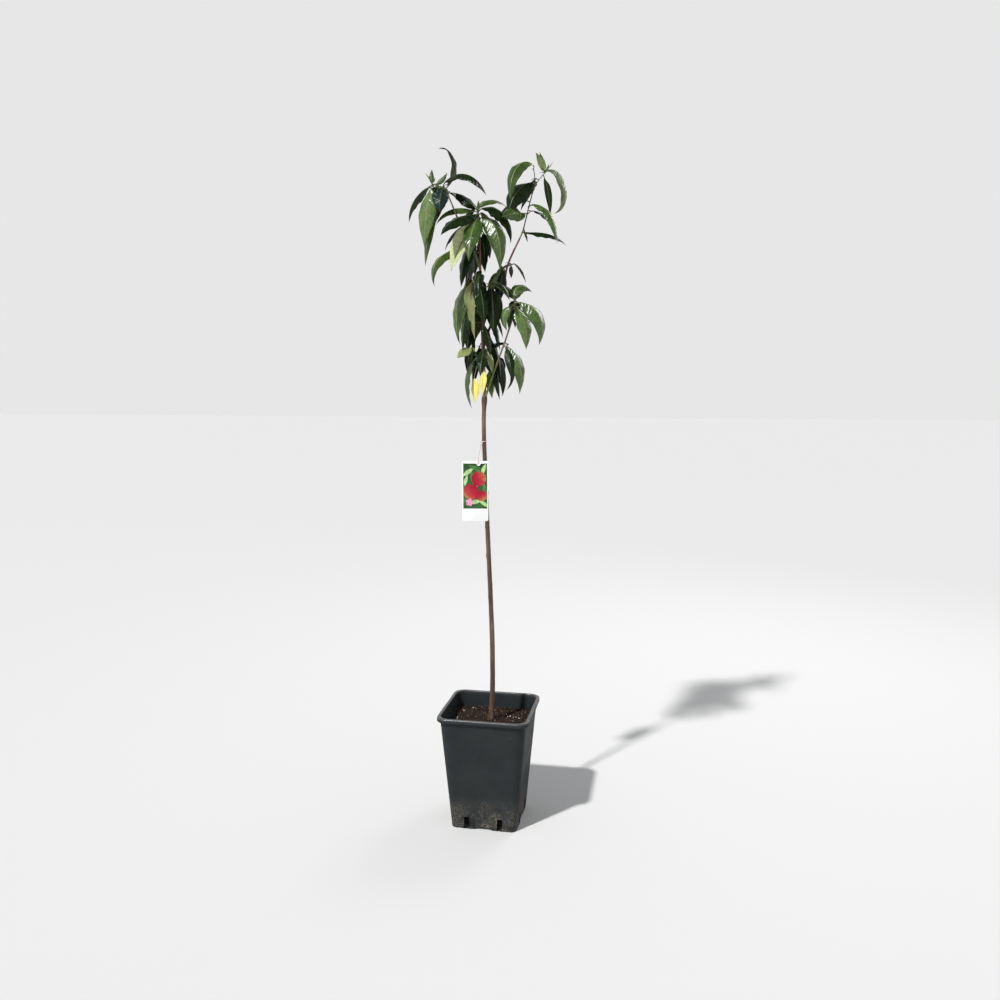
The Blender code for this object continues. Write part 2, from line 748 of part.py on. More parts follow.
def slot_outline():
    points = [(0.5 * SLOT_WIDTH, SLOT_BOTTOM)]
    for k in range(7):
        angle = math.pi * k / 6
        points.append((0.5 * SLOT_WIDTH * math.cos(angle),
                       SLOT_TOP + 0.5 * SLOT_WIDTH * (math.sin(angle) - 1)))
    points.append((-0.5 * SLOT_WIDTH, SLOT_BOTTOM))
    return points


def build_pot(plastic):
    rings = [outline(half, corner_radius(z, max(0.0, wall_half(z) - half)), z)
             for half, z in pot_profile()]
    pot = add_object("pot", *loft(rings), plastic)
    cutters = []
    for side in range(4):
        turn = Matrix.Rotation(math.radians(90 * side), 4, "Z")
        reach = 0.5 * POT_BASE + 0.01 - PAD_RADIUS
        out = turn @ Matrix.Translation((0.0, -(PAD_RADIUS + 0.5 * reach), 0.0))
        vertices, faces = prism(channel_outline(), out, reach)
        cutters.append(cutter(add_object(f"channel_cutter_{side}", vertices, faces)))
        for sign in (-1, 1):
            out = turn @ Matrix.Translation((sign * SLOT_SPACING, -0.5 * POT_BASE, 0.0))
            vertices, faces = prism(slot_outline(), out, 0.014)
            cutters.append(cutter(add_object(f"slot_cutter_{side}_{sign}", vertices, faces)))
    cut(pot, *cutters)
    round_off(pot, 40.0)
    return pot


def build_soil(mix):
    low = FLOOR_TOP + GAP
    rings = []
    for z in (low, SOIL_TOP):
        half = wall_half(z) - POT_WALL - 2 * GAP
        rings.append(outline(half, corner_radius(z, 0.0022), z))
    return add_object("potting_mix", *loft(rings), mix)


def trunk_at(limbs, z):
    """The trunk's middle and radius at a height."""
    points, radii = limbs["trunk"]["points"], limbs["trunk"]["radii"]
    i = next(n for n in range(1, len(points)) if points[n].z >= z)
    t = (z - points[i - 1].z) / (points[i].z - points[i - 1].z)
    return points[i - 1].lerp(points[i], t), radii[i - 1] + (radii[i] - radii[i - 1]) * t


def label_frame(limbs):
    """Where the label hangs: its middle, with its back just clear of the trunk's front."""
    bottom = LABEL_TOP - LABEL_SIZE[1]
    near = [point.y - radius for point, radius in zip(*limbs["trunk"].values())
            if bottom - 0.05 < point.z < LABEL_TOP + 0.05]
    front = min(near) - GAP - 0.5 * LABEL_THICKNESS
    return Matrix.Translation((LABEL_MIDDLE_X, front, 0.5 * (LABEL_TOP + bottom)))


def build_label(limbs, card):
    """A rounded card with a hole near its top for the tie."""
    width, height = LABEL_SIZE
    points = []
    for corner, (sx, sz) in enumerate(((1, 1), (-1, 1), (-1, -1), (1, -1))):
        for k in range(5):
            angle = math.radians(90 * corner + 90 * k / 4)
            points.append((sx * (0.5 * width - LABEL_CORNER) + LABEL_CORNER * math.cos(angle),
                           sz * (0.5 * height - LABEL_CORNER) + LABEL_CORNER * math.sin(angle)))
    vertices, faces = prism(points, label_frame(limbs), LABEL_THICKNESS)
    label = add_object("picture_label", turned(vertices), faces, card)
    right, below, radius = LABEL_HOLE
    ring = [(right + radius * math.cos(2 * math.pi * k / 14),
             0.5 * height - below + radius * math.sin(2 * math.pi * k / 14)) for k in range(14)]
    vertices, faces = prism(ring, label_frame(limbs), 0.006)
    cut(label, cutter(add_object("label_hole_cutter", turned(vertices), faces)))
    return label


def tie_points(limbs):
    """A loop from the trunk's left side round its back and front, and down through the hole."""
    middle, radius = trunk_at(limbs, TIE_HEIGHT)
    around = radius + TIE_RADIUS + GAP
    points = []
    for k in range(11):
        angle = math.radians(185 - 310 * k / 10)
        points.append(middle + around * Vector((math.cos(angle), math.sin(angle), 0.0))
                      + Vector((0.0, 0.0, 0.0022 * (0.5 - k / 10))))
    across, below, hole_radius = LABEL_HOLE
    hole = label_frame(limbs) @ Vector((across, 0.0, 0.5 * LABEL_SIZE[1] - below))
    off = Vector((0.0, 0.5 * LABEL_THICKNESS + TIE_RADIUS + 0.0005, 0.0))
    bearing = hole + Vector((0.0, 0.0, hole_radius - TIE_RADIUS - GAP))
    over = Vector((0.0, 0.0, 0.5 * below))
    above = Vector((0.0, 0.0, below + 0.008))
    front = hole - off + above
    back = hole + off + above
    strand = (0.12, 0.3, 0.55, 0.8)
    left, right = points[0], points[-1]
    points += [right.lerp(front, t) for t in strand]
    points += [front, hole - off + over, bearing, hole + off + over, back]
    points += [back.lerp(left, 1 - t) for t in reversed(strand)]
    return points


def build_tie(limbs, thread):
    points = tie_points(limbs)
    count = len(points)
    loop = []
    for i in range(count):
        a, b, c, d = (points[(i + k) % count] for k in (-1, 0, 1, 2))
        for k in range(TIE_SPAN_STEPS):
            t = k / TIE_SPAN_STEPS
            loop.append(0.5 * (2 * b + (c - a) * t + (2 * a - 5 * b + 4 * c - d) * t * t
                               + (3 * b - a - 3 * c + d) * t ** 3))
    sides = STEM_SIDES
    vertices = []
    for i, point in enumerate(loop):
        along = (loop[(i + 1) % len(loop)] - loop[i - 1]).normalized()
        up = Vector((0.0, 0.0, 1.0)) if abs(along.z) < 0.8 else Vector((0.0, 1.0, 0.0))
        across = along.cross(up).normalized()
        over = across.cross(along)
        for k in range(sides):
            angle = 2 * math.pi * k / sides
            vertices.append(point + TIE_RADIUS * (across * math.cos(angle)
                                                  + over * math.sin(angle)))
    total = len(loop) * sides
    faces = []
    for i in range(len(loop)):
        for k in range(sides):
            a = i * sides + k
            b = i * sides + (k + 1) % sides
            faces.append((a, b, (b + sides) % total, (a + sides) % total))
    return add_object("label_tie", turned(vertices), faces, thread)


def main():
    for made in list(bpy.data.objects):
        bpy.data.objects.remove(made)
    plastic = material("pot_plastic", (0.040, 0.044, 0.046), 0.55)
    mix = material("potting_mix", (0.045, 0.028, 0.018), 0.95)
    bark = material("stem_bark", (0.115, 0.065, 0.042), 0.7)
    shoot_bark = material("shoot_bark", (0.16, 0.12, 0.065), 0.6)
    green = material("peach_leaf", (0.045, 0.085, 0.025), 0.45)
    card = material("label_card", (0.80, 0.80, 0.78), 0.4)
    thread = material("tie_thread", (0.75, 0.55, 0.55), 0.6)

    build_pot(plastic)
    build_soil(mix)
    limbs = build_limbs(bark, shoot_bark)
    build_label(limbs, card)
    build_tie(limbs, thread)

    space = Space()
    for limb in limbs.values():
        space.add_limb(limb["points"], limb["radii"])
    grown = grow_masses(space, limbs)
    for name, mass in grown.items():
        round_off(join_mass(name, mass["pieces"], green), 50.0)
    return grown


if __name__ == "__main__":
    main()
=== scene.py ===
import math
import random

import bmesh
import bpy
from mathutils import Matrix, Vector, noise
from mathutils.bvhtree import BVHTree


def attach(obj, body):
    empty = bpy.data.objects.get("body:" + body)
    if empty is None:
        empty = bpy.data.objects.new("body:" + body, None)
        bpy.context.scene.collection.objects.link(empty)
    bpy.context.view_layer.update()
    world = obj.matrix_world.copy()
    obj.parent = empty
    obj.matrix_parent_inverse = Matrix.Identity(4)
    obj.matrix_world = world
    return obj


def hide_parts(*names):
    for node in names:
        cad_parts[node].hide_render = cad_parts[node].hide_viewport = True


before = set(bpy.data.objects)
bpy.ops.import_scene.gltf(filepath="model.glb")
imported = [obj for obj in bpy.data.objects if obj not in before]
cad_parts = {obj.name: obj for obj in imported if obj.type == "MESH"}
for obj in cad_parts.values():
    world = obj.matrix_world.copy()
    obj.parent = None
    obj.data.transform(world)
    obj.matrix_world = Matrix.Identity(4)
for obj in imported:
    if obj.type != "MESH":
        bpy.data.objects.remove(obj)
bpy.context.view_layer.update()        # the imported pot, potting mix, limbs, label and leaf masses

gap = 0.0003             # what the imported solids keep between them
treeTurn = 10.3          # degrees that the tree is turned in its pot
nodeTurn = 2.4           # radians round a shoot from one bud to the next


# Camera, floor and lights

studio = {
    "cameraPlace": (0.4217, -2.079, 1.051),
    "cameraHeading": 10.79,           # degrees it stands to the right of the pot's front
    "cameraDown": 7.1,
    "lens": 32.44,
    "floorSize": 60.0,
    "floorColour": (0.66, 0.66, 0.65),
    "skyLow": (0.38, (0.80, 0.80, 0.80)),     # at the horizon
    "skyHigh": (0.75, (0.16, 0.17, 0.19)),    # overhead
    "keyFrom": (-1.15, -1.9, 2.5),
    "keyStrength": 3.7,
    "keySoftness": 3.0,               # degrees across
    "rimFrom": (1.1, 2.0, 2.4),
    "rimAt": (0.0, 0.0, 1.0),
    "rimSize": 1.2,
    "rimWatts": 16.0,
}


def addThing(name, data, place=(0.0, 0.0, 0.0), target=None):
    made = bpy.data.objects.new(name, data)
    bpy.context.scene.collection.objects.link(made)
    made.location = place
    if target is not None:
        made.rotation_mode = "QUATERNION"
        made.rotation_quaternion = (Vector(target) - made.location).to_track_quat("-Z", "Y")
    return made


def buildStudio():
    scene = bpy.context.scene
    scene.view_settings.view_transform = "Standard"
    place = Vector(studio["cameraPlace"])
    back = aim(studio["cameraHeading"] - 90.0, studio["cameraDown"])
    scene.camera = addThing("camera", bpy.data.cameras.new("camera"), place, place - back)
    scene.camera.data.lens = studio["lens"]

    half = 0.5 * studio["floorSize"]
    paint, shader, _ = newMaterial("floorPaint", 0.9, 0.2)
    feed(shader, {"Base Color": studio["floorColour"]})
    addMesh("floor", [(-half, -half, 0), (half, -half, 0), (half, half, 0),
                               (-half, half, 0)], [(0, 1, 2, 3)], [paint])

    rim = bpy.data.lights.new("rimLamp", "AREA")
    rim.shape, rim.size, rim.energy = "DISK", studio["rimSize"], studio["rimWatts"]
    addThing("rimLamp", rim, studio["rimFrom"], studio["rimAt"])
    key = bpy.data.lights.new("keyLight", "SUN")
    key.energy, key.angle = studio["keyStrength"], math.radians(studio["keySoftness"])
    addThing("keyLight", key, studio["keyFrom"], (0.0, 0.0, 0.0))

    scene.world = bpy.data.worlds.new("studioSky")
    scene.world.use_nodes = True
    tree = scene.world.node_tree
    height = splitOf(tree, addNode(tree, "ShaderNodeTexCoord").outputs["Generated"])["Z"]
    feed(tree.nodes["Background"],
         {"Color": rampOf(tree, height, studio["skyLow"], studio["skyHigh"])})


# Points and routes

def mm(x, y, z):
    return Vector((x, y, z)) / 1000.0


def aim(heading, elevation):
    h, e = math.radians(heading), math.radians(elevation)
    return Vector((math.cos(e) * math.cos(h), math.cos(e) * math.sin(h), math.sin(e)))


def turned(points):
    turn = Matrix.Rotation(math.radians(treeTurn), 3, "Z")
    return [turn @ Vector(p) for p in points]


def arc(count, first=0.0, last=360.0):       # the cosine and sine of angles in degrees
    return [(math.cos(a), math.sin(a)) for a in
            (math.radians(first + (last - first) * k / count) for k in range(count + 1))]


def spline(a, b, c, d, t):                   # from b to c, with a before them and d after
    return 0.5 * (2 * b + (c - a) * t + (2 * a - 5 * b + 4 * c - d) * t * t
                  + (3 * b - a - 3 * c + d) * t ** 3)


def smoothRoute(points, perSpan=6):
    points = [Vector(p) for p in points]
    ends = [2 * points[0] - points[1], *points, 2 * points[-1] - points[-2]]
    return [spline(*ends[i:i + 4], k / perSpan) for i in range(len(points) - 1)
            for k in range(perSpan)] + [points[-1]]


def shares(points):
    total = [0.0]
    for a, b in zip(points, points[1:]):
        total.append(total[-1] + (b - a).length)
    return [t / total[-1] for t in total]


def pointAt(points, share):
    known = shares(points)
    i = next(n for n in range(1, len(points)) if share <= known[n])
    return points[i - 1].lerp(points[i], (share - known[i - 1]) / (known[i] - known[i - 1]))


def evenRoute(points, step):
    length = sum((b - a).length for a, b in zip(points, points[1:]))
    count = max(2, int(length / step))
    return [pointAt(points, k / count) for k in range(count + 1)]


# Meshes

def addMesh(name, vertices=(), faces=(), finishes=(), edges=()):
    mesh = bpy.data.meshes.new(name)
    mesh.from_pydata([tuple(v) for v in vertices], edges, faces)
    for finish in finishes:
        mesh.materials.append(finish)
    return addThing(name, mesh)


def bareCopy(name, thing):
    return addMesh(name, [v.co for v in thing.data.vertices],
                   [tuple(p.vertices) for p in thing.data.polygons])


# Adds closed shapes to a mesh and turns its faces outward. A shape is its vertices and faces,
# then the finish of each face and the place of each vertex on the map, where it has them.
def addShapes(thing, shapes=()):
    work = bmesh.new()
    work.from_mesh(thing.data)
    layer = work.loops.layers.uv.new("map") if any(len(s) > 3 for s in shapes) else None
    for vertices, faces, *more in shapes:
        corners = [work.verts.new(v) for v in vertices]
        for number, face in enumerate(faces):
            made = work.faces.new([corners[i] for i in face])
            if more:
                made.material_index = more[0][number]
            if len(more) > 1:
                for loop, i in zip(made.loops, face):
                    loop[layer].uv = more[1][i]
    bmesh.ops.recalc_face_normals(work, faces=work.faces)
    work.to_mesh(thing.data)
    work.free()


def applyModifiers(thing):
    bpy.context.view_layer.update()
    graph = bpy.context.evaluated_depsgraph_get()
    mesh = bpy.data.meshes.new_from_object(thing.evaluated_get(graph))
    thing.modifiers.clear()
    thing.data = mesh
    mesh.name = thing.name


def cutFrom(thing, cutters):
    tools = []
    for n, shape in enumerate(cutters):
        tools.append(addMesh(f"{thing.name}Cutter{n}"))
        addShapes(tools[-1], [shape])
        take = thing.modifiers.new(f"cut{n}", "BOOLEAN")
        take.operation = "DIFFERENCE"
        take.object = tools[-1]
    applyModifiers(thing)
    for tool in tools:
        bpy.data.objects.remove(tool)


# Shades a piece and hands it over: the body it rides on and the node it stands for
def settle(made, node=None, angle=180.0):
    made.data.shade_smooth()
    made.data.set_sharp_from_angle(angle=math.radians(angle))
    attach(made, "root")
    if node:
        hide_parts(node)


def addPiece(name, shapes, finishes, node=None, angle=180.0):
    made = addMesh(name, finishes=finishes)
    addShapes(made, shapes)
    settle(made, node, angle)
    return made


# A tube with bark grain and bumps, each bump (ring, angle, height, rings long, radians wide)
def tube(points, radii, sides, grain=0.0, bumps=()):
    vertices = []
    last = len(points) - 1
    across = (points[1] - points[0]).normalized().orthogonal()
    for i, (point, radius) in enumerate(zip(points, radii)):
        along = (points[min(i + 1, last)] - points[max(i - 1, 0)]).normalized()
        across = (across - along * across.dot(along)).normalized()
        up = along.cross(across)
        near = [b for b in bumps if abs(b[0] - i) < 3 * b[3]]
        for k in range(sides):
            angle = 2 * math.pi * k / sides
            out = across * math.cos(angle) + up * math.sin(angle)
            swell = 0.0
            if grain:
                x, y, z = point + out * radius
                swell = grain * (noise.noise(Vector((x * 240, y * 240, z * 60)))
                                 + 0.7 * noise.noise(Vector((x * 520, y * 520, z * 260))))
            for ring, at, height, long, wide in near:
                turn = (angle - at + math.pi) % (2 * math.pi) - math.pi
                swell += height * math.exp(-((i - ring) / long) ** 2 - (turn / wide) ** 2)
            vertices.append(point + out * (radius + swell))
    return vertices, tubeFaces(len(points), sides)


def tubeFaces(rings, sides):
    faces = []
    for i in range(rings - 1):
        for k in range(sides):
            a, b = i * sides + k, i * sides + (k + 1) % sides
            faces.append((a, b, b + sides, a + sides))
    last = (rings - 1) * sides
    return faces + [tuple(reversed(range(sides))), tuple(range(last, last + sides))]


# A solid from an outline in (across, up), swept through depth and placed
def prism(outline, place, depth):
    n = len(outline)
    vertices = [place @ Vector((x, y, z)) for y in (-0.5 * depth, 0.5 * depth)
                for x, z in outline]
    faces = [tuple(range(n)), tuple(reversed(range(n, 2 * n)))]
    return vertices, faces + [(k, k + n, (k + 1) % n + n, (k + 1) % n) for k in range(n)]


# Materials and node trees

def feed(node, inputs):
    for name, value in inputs.items():
        socket = node.inputs[name]
        if isinstance(value, bpy.types.NodeSocket):
            node.id_data.links.new(value, socket)
        else:
            socket.default_value = (*value, 1.0) if socket.type == "RGBA" else value
    return node


def addNode(tree, kind, inputs=None, **settings):
    made = tree.nodes.new(kind)
    for name, value in settings.items():
        setattr(made, name, value)
    return feed(made, inputs or {})


def newMaterial(name, rough, specular=0.5):
    made = bpy.data.materials.new(name)
    made.use_nodes = True
    shader = made.node_tree.nodes["Principled BSDF"]
    return made, feed(shader, {"Roughness": rough, "Specular IOR Level": specular}), made.node_tree


def coordinates(tree, kind="Object", stretch=(1.0, 1.0, 1.0)):
    place = addNode(tree, "ShaderNodeTexCoord").outputs[kind]
    return addNode(tree, "ShaderNodeMapping", {"Vector": place, "Scale": stretch}).outputs[0]


def splitOf(tree, vector):
    return addNode(tree, "ShaderNodeSeparateXYZ", {0: vector}).outputs


def noiseOf(tree, scale, stretch=(1.0, 1.0, 1.0), detail=4.0, rough=0.55):
    return addNode(tree, "ShaderNodeTexNoise", {
        "Vector": coordinates(tree, stretch=stretch), "Scale": scale, "Detail": detail,
        "Roughness": rough}).outputs["Fac"]


def rampOf(tree, factor, *stops):
    node = addNode(tree, "ShaderNodeValToRGB", {"Fac": factor})
    elements = node.color_ramp.elements
    while len(elements) < len(stops):
        elements.new(0.5)
    for element, (place, colour) in zip(elements, stops):
        element.position = place
        element.color = (*colour, 1.0)
    return node.outputs["Color"]


def rangeOf(tree, value, low, high, toLow=0.0, toHigh=1.0):
    return addNode(tree, "ShaderNodeMapRange", {
        "Value": value, "From Min": low, "From Max": high, "To Min": toLow,
        "To Max": toHigh}).outputs["Result"]


def mathOf(tree, operation, *values):
    return addNode(tree, "ShaderNodeMath", dict(enumerate(values)), operation=operation).outputs[0]


def mixOf(tree, factor, first, second):
    return addNode(tree, "ShaderNodeMix", {0: factor, 6: first, 7: second},
                   data_type="RGBA").outputs[2]


def addBump(shader, height, depth, strength=0.6):
    bump = addNode(shader.id_data, "ShaderNodeBump",
                   {"Strength": strength, "Distance": depth, "Height": height})
    feed(shader, {"Normal": bump.outputs["Normal"]})


# A finish whose colour wanders between a few tones, with a relief of its own: (scale, depth)
def mottled(name, scale, rough, specular, *stops, relief=None):
    made, shader, tree = newMaterial(name, rough, specular)
    feed(shader, {"Base Color": rampOf(tree, noiseOf(tree, scale), *stops)})
    if relief:
        addBump(shader, noiseOf(tree, relief[0], detail=3.0), relief[1])
    return made


# A Geometry Nodes tree with its named inputs: the tree, their sockets, their values inside it
def newTree(name, **sizes):
    tree = bpy.data.node_groups.new(name, "GeometryNodeTree")
    sockets = {label: tree.interface.new_socket(label, in_out="INPUT",
                                                socket_type="NodeSocket" + kind)
               for label, kind in {"Geometry": "Geometry", **sizes}.items()}
    tree.interface.new_socket("Geometry", in_out="OUTPUT", socket_type="NodeSocketGeometry")
    return tree, sockets, addNode(tree, "NodeGroupInput").outputs


def endTree(tree, shape, finish):
    real = addNode(tree, "GeometryNodeRealizeInstances", {"Geometry": shape})
    wear = addNode(tree, "GeometryNodeSetMaterial", {"Geometry": real.outputs[0],
                                                     "Material": finish})
    addNode(tree, "NodeGroupOutput", {"Geometry": wear.outputs[0]})


# Sets a tree's inputs on an object, runs it, and keeps the plain mesh that it makes
def runTree(thing, tree, sockets, **values):
    modifier = thing.modifiers.new(tree.name, "NODES")
    modifier.node_group = tree
    for label, value in values.items():
        modifier[sockets[label].identifier] = value
    applyModifiers(thing)


def onPoints(tree, points, shape, rotation, scale):
    return addNode(tree, "GeometryNodeInstanceOnPoints", {
        "Points": points, "Instance": shape, "Rotation": rotation, "Scale": scale}).outputs[0]


def bead(tree):
    return addNode(tree, "GeometryNodeMeshIcoSphere", {"Subdivisions": 1, "Radius": 0.5}).outputs[0]


def anyVector(tree, least, most):
    return addNode(tree, "FunctionNodeRandomValue", {"Min": least, "Max": most},
                   data_type="FLOAT_VECTOR").outputs[0]


def vectorMath(tree, operation, vector, by):
    where = "Scale" if operation == "SCALE" else 1
    return addNode(tree, "ShaderNodeVectorMath", {0: vector, where: by},
                   operation=operation).outputs[0]


def pointTo(tree, axis, inputs, **settings):
    return addNode(tree, "FunctionNodeAlignRotationToVector", inputs, axis=axis,
                   **settings).outputs[0]


# The pot

pot = {
    "width": 0.220,
    "height": 0.280,
    "base": 0.159,
    "wall": 0.0022,
    "corner": 0.026,
    "rimHeight": 0.0105,
    "rimSkirt": 0.0016,          # thickness of the lip that hangs outside the wall
    "rimProud": 0.0055,
    "rimRoll": (0.0026, 0.0020), # radius of its outer edge, and of its inner edge
    "polished": 0.0034,          # the depth from the top that handling has polished
    "floorTop": 0.0105,
    "channelWidth": 0.042,
    "channelHeight": 0.0075,
    "padRadius": 0.021,
    "slotWidth": 0.0130,
    "slotTop": 0.0315,
    "slotBottom": 0.0016,
    "slotSquare": 0.45,          # 1 rounds the slot's top fully, less squares it
    "slotSpacing": 0.040,
    "slotBorder": 0.0019,
    "slotProud": 0.0009,
    "bow": 0.0014,               # how far the middle of a wall is drawn in
    "cornerSteps": 12,
    "sideSteps": 10,
    "plastic": (0.0150, 0.0185, 0.0200),
    "worn": (0.0235, 0.0270, 0.0285),
    # painted highlight: the top of the rim is painted paler towards this
    "wornRim": (0.105, 0.108, 0.105),
    "dust": (0.40, 0.335, 0.25),
    "dustTop": 0.085,
    "wallGloss": (0.58, 0.13),   # roughness and gloss
    "rimGloss": (0.27, 0.75),
}


# A square ring with rounded corners, its sides drawn in by bow at their middles
def squareRing(half, radius, z, bow=0.0):
    points = []
    flat = half - radius
    for corner in range(4):
        turn = Matrix.Rotation(math.radians(90 * corner), 3, "Z")
        points += [turn @ Vector((flat + radius * c, flat + radius * s, 0.0))
                   for c, s in arc(pot["cornerSteps"], 0, 90)]
        for k in range(1, pot["sideSteps"]):
            along = 1.0 - 2.0 * k / pot["sideSteps"]
            points.append(turn @ Vector((flat * along, half - bow * (1 - along ** 2), 0.0)))
    return [p + Vector((0.0, 0.0, z)) for p in points]


def wallHalf(z):
    top = 0.5 * pot["width"] - pot["rimProud"]
    return 0.5 * pot["base"] + (top - 0.5 * pot["base"]) * z / pot["height"]


def cornerRadius(z, inset=0.0):
    return (0.55 + 0.45 * z / pot["height"]) * pot["corner"] - inset


# (half width, height) from the foot up the outside, over the rolled rim and down inside
def potProfile():
    half, top = 0.5 * pot["width"], pot["height"]
    under = top - pot["rimHeight"]
    skirt = half - pot["rimSkirt"]
    inner = wallHalf(top) - pot["wall"]
    outerRoll, innerRoll = pot["rimRoll"]
    profile = [(wallHalf(0.0) - 0.0016, 0.0), (wallHalf(0.0) - 0.0005, 0.0004),
               (wallHalf(0.0012), 0.0014)]
    profile += [(wallHalf(z), z) for z in (0.02, 0.05, 0.09, 0.13, 0.17, 0.21, 0.245,
                                           under - 0.002, under + 0.003, top - 0.0042)]
    profile += [(wallHalf(top - 0.0030) + 0.0010, top - 0.0032), (skirt - 0.0006, top - 0.0034),
                (skirt, top - 0.0044), (skirt, under + 0.0008), (skirt + 0.0003, under + 0.0001),
                (half - 0.0005, under + 0.0001), (half, under + 0.0009),
                (half - 0.0004, under + 0.0050)]
    profile += [(half - outerRoll * (1 - c), top - outerRoll * (1 - s)) for c, s in arc(6, 0, 90)]
    profile += [(inner + innerRoll * (1 - s), top - 0.0002 - innerRoll * (1 - c))
                for c, s in arc(4, 0, 90)]
    return profile + [(wallHalf(z) - pot["wall"], z)
                      for z in (0.262, 0.24, 0.20, 0.15, 0.10, 0.05, pot["floorTop"])]


def archOutline():
    half = 0.5 * pot["channelWidth"]
    return [(-half, -0.002), (half, -0.002)] + [
        (half * c, pot["channelHeight"] * max(0.0, s) ** 0.6) for c, s in arc(24, 0, 180)]


def slotOutline(grow=0.0):
    half = 0.5 * pot["slotWidth"] + grow
    low = pot["slotBottom"] - 0.4 * grow
    middle = pot["slotTop"] - 0.5 * pot["slotWidth"]
    square = pot["slotSquare"]
    return [(half, low)] + [
        (half * math.copysign(abs(c) ** square, c), middle + half * max(0.0, s) ** square)
        for c, s in arc(16, 0, 180)] + [(-half, low)]


# The raised lip moulded round a drain slot: a closed band between two outlines
def slotBorder(place):
    proud, bury = pot["slotProud"], 0.0006
    inner, crest, outer = (slotOutline(k * pot["slotBorder"]) for k in (0.0, 0.5, 1.0))
    rows = ((inner, bury), (inner, -0.6 * proud), (crest, -proud), (outer, -0.4 * proud),
            (outer, bury))
    vertices = [place @ Vector((x, y, z)) for outline, y in rows for x, z in outline]
    count, total = len(inner), len(rows)
    faces = []
    for i in range(total):
        for k in range(count - 1):
            a, b = i * count + k, (i + 1) % total * count + k
            faces.append((a, a + 1, b + 1, b))
    faces.append(tuple(i * count for i in range(total)))
    faces.append(tuple(i * count + count - 1 for i in reversed(range(total))))
    return vertices, faces


# Charcoal plastic with a fine grain, scuffed towards the foot and dusted with dry soil, with a
# painted highlight along the top of its rim
def potPlastic(name, rough, gloss):
    made, shader, tree = newMaterial(name, rough, gloss)
    body = rampOf(tree, noiseOf(tree, 14.0, detail=8.0, rough=0.65), (0.35, pot["plastic"]),
                  (0.72, pot["worn"]))
    height = splitOf(tree, coordinates(tree))["Z"]
    specks = rangeOf(tree, noiseOf(tree, 480.0, detail=3.0, rough=0.7), 0.545, 0.60)
    patches = rangeOf(tree, noiseOf(tree, 24.0, detail=6.0, rough=0.7), 0.40, 0.62)
    low = mathOf(tree, "MULTIPLY", patches, rangeOf(tree, height, pot["dustTop"], -0.004))
    dust = mathOf(tree, "MAXIMUM", mathOf(tree, "MULTIPLY", specks, low),
                  mathOf(tree, "MULTIPLY", low, 0.07))
    # Painted highlight: the top few millimetres of the rim are painted paler
    rim = rangeOf(tree, height, pot["height"] - 0.008, pot["height"] - 0.001, 0.0, 0.30)
    worn = mixOf(tree, rim, body, pot["wornRim"])
    feed(shader, {"Base Color": mixOf(tree, dust, worn, pot["dust"]),
                  "Roughness": rangeOf(tree, noiseOf(tree, 30.0), 0.3, 0.7, rough - 0.07,
                                       rough + 0.12)})
    addBump(shader, noiseOf(tree, 900.0, detail=2.0), 0.00025, 0.35)
    return made


def buildPot():
    rings = []
    for half, z in potProfile():
        bow = pot["bow"] * math.sin(math.pi * min(1.0, z / (pot["height"] - 0.02)))
        rings.append(squareRing(half, cornerRadius(z, max(0.0, wallHalf(z) - half)), z,
                                max(0.0, bow)))
    vertices = [p for ring in rings for p in ring]
    faces = tubeFaces(len(rings), len(rings[0]))
    polishedFrom = pot["height"] - pot["polished"]
    polished = [int(min(vertices[v].z for v in face) > polishedFrom) for face in faces]
    body = addMesh("potBody", finishes=[potPlastic("potPlastic", *pot["wallGloss"]),
                                        potPlastic("rimPlastic", *pot["rimGloss"])])
    addShapes(body, [(vertices, faces, polished)])
    cutters, borders = [], []
    reach = 0.5 * pot["base"] + 0.01 - pot["padRadius"]
    lean = math.atan2(wallHalf(pot["height"]) - wallHalf(0.0), pot["height"])
    for side in range(4):
        turn = Matrix.Rotation(math.radians(90 * side), 4, "Z")
        out = turn @ Matrix.Translation((0.0, -(pot["padRadius"] + 0.5 * reach), 0.0))
        cutters.append(prism(archOutline(), out, reach))
        for across in (-pot["slotSpacing"], pot["slotSpacing"]):
            out = turn @ Matrix.Translation((across, -0.5 * pot["base"], 0.0))
            cutters.append(prism(slotOutline(), out, 0.016))
            borders.append(slotBorder(out @ Matrix.Rotation(lean, 4, "X")))
    cutFrom(body, cutters)
    addShapes(body, borders)
    settle(body, "pot", 32.0)


# The potting mix and its crumbs

soil = {
    "top": 0.244,
    "mound": 0.006,              # how much higher it lies round the stem
    "lump": 0.0035,
    "rings": 34,
    "dark": (0.004, 0.003, 0.0024),
    "mid": (0.017, 0.0105, 0.0065),
    "pale": (0.085, 0.048, 0.027),
    # painted shade: near black for the sides and floor of the mix, against the pot, where they show
    # through the drain slots
    "packed": (0.0015, 0.0012, 0.001),
    "chip": (0.20, 0.125, 0.075),
    "greyPerlite": (0.42, 0.39, 0.34),
    "perlite": (0.72, 0.68, 0.58),
    # points for each square metre, smallest and largest size, seed
    "fineCrumbs": (52000.0, 0.0014, 0.0038, 3),
    "barkChips": (9000.0, 0.0034, 0.0085, 5),
    "perliteGrains": (1500.0, 0.0018, 0.0052, 8),
    "crumbGrain": (650.0, 0.0022),     # scale and depth of the roughness of a crumb
    "crumbStretch": ((0.7, 0.5, 0.35), (1.3, 0.9, 0.7)),    # least and most along its axes
    "upwardFrom": 0.5,           # crumbs lie where a face's direction has more upward in it
}


def soilHeight(x, y, share):
    foot = turned([trunk["route"][0]])[0]
    away = math.hypot(x - foot.x, y - foot.y)
    lumps = sum(part * noise.noise(Vector((x * scale, y * scale, z)))
                for part, scale, z in ((1.0, 60, 1.7), (0.6, 170, 4.1), (0.35, 420, 9.3)))
    return (soil["top"] - 0.001 + soil["mound"] * math.exp(-(away / 0.03) ** 2)
            + soil["lump"] * lumps - 0.004 * max(0.0, share - 0.8))


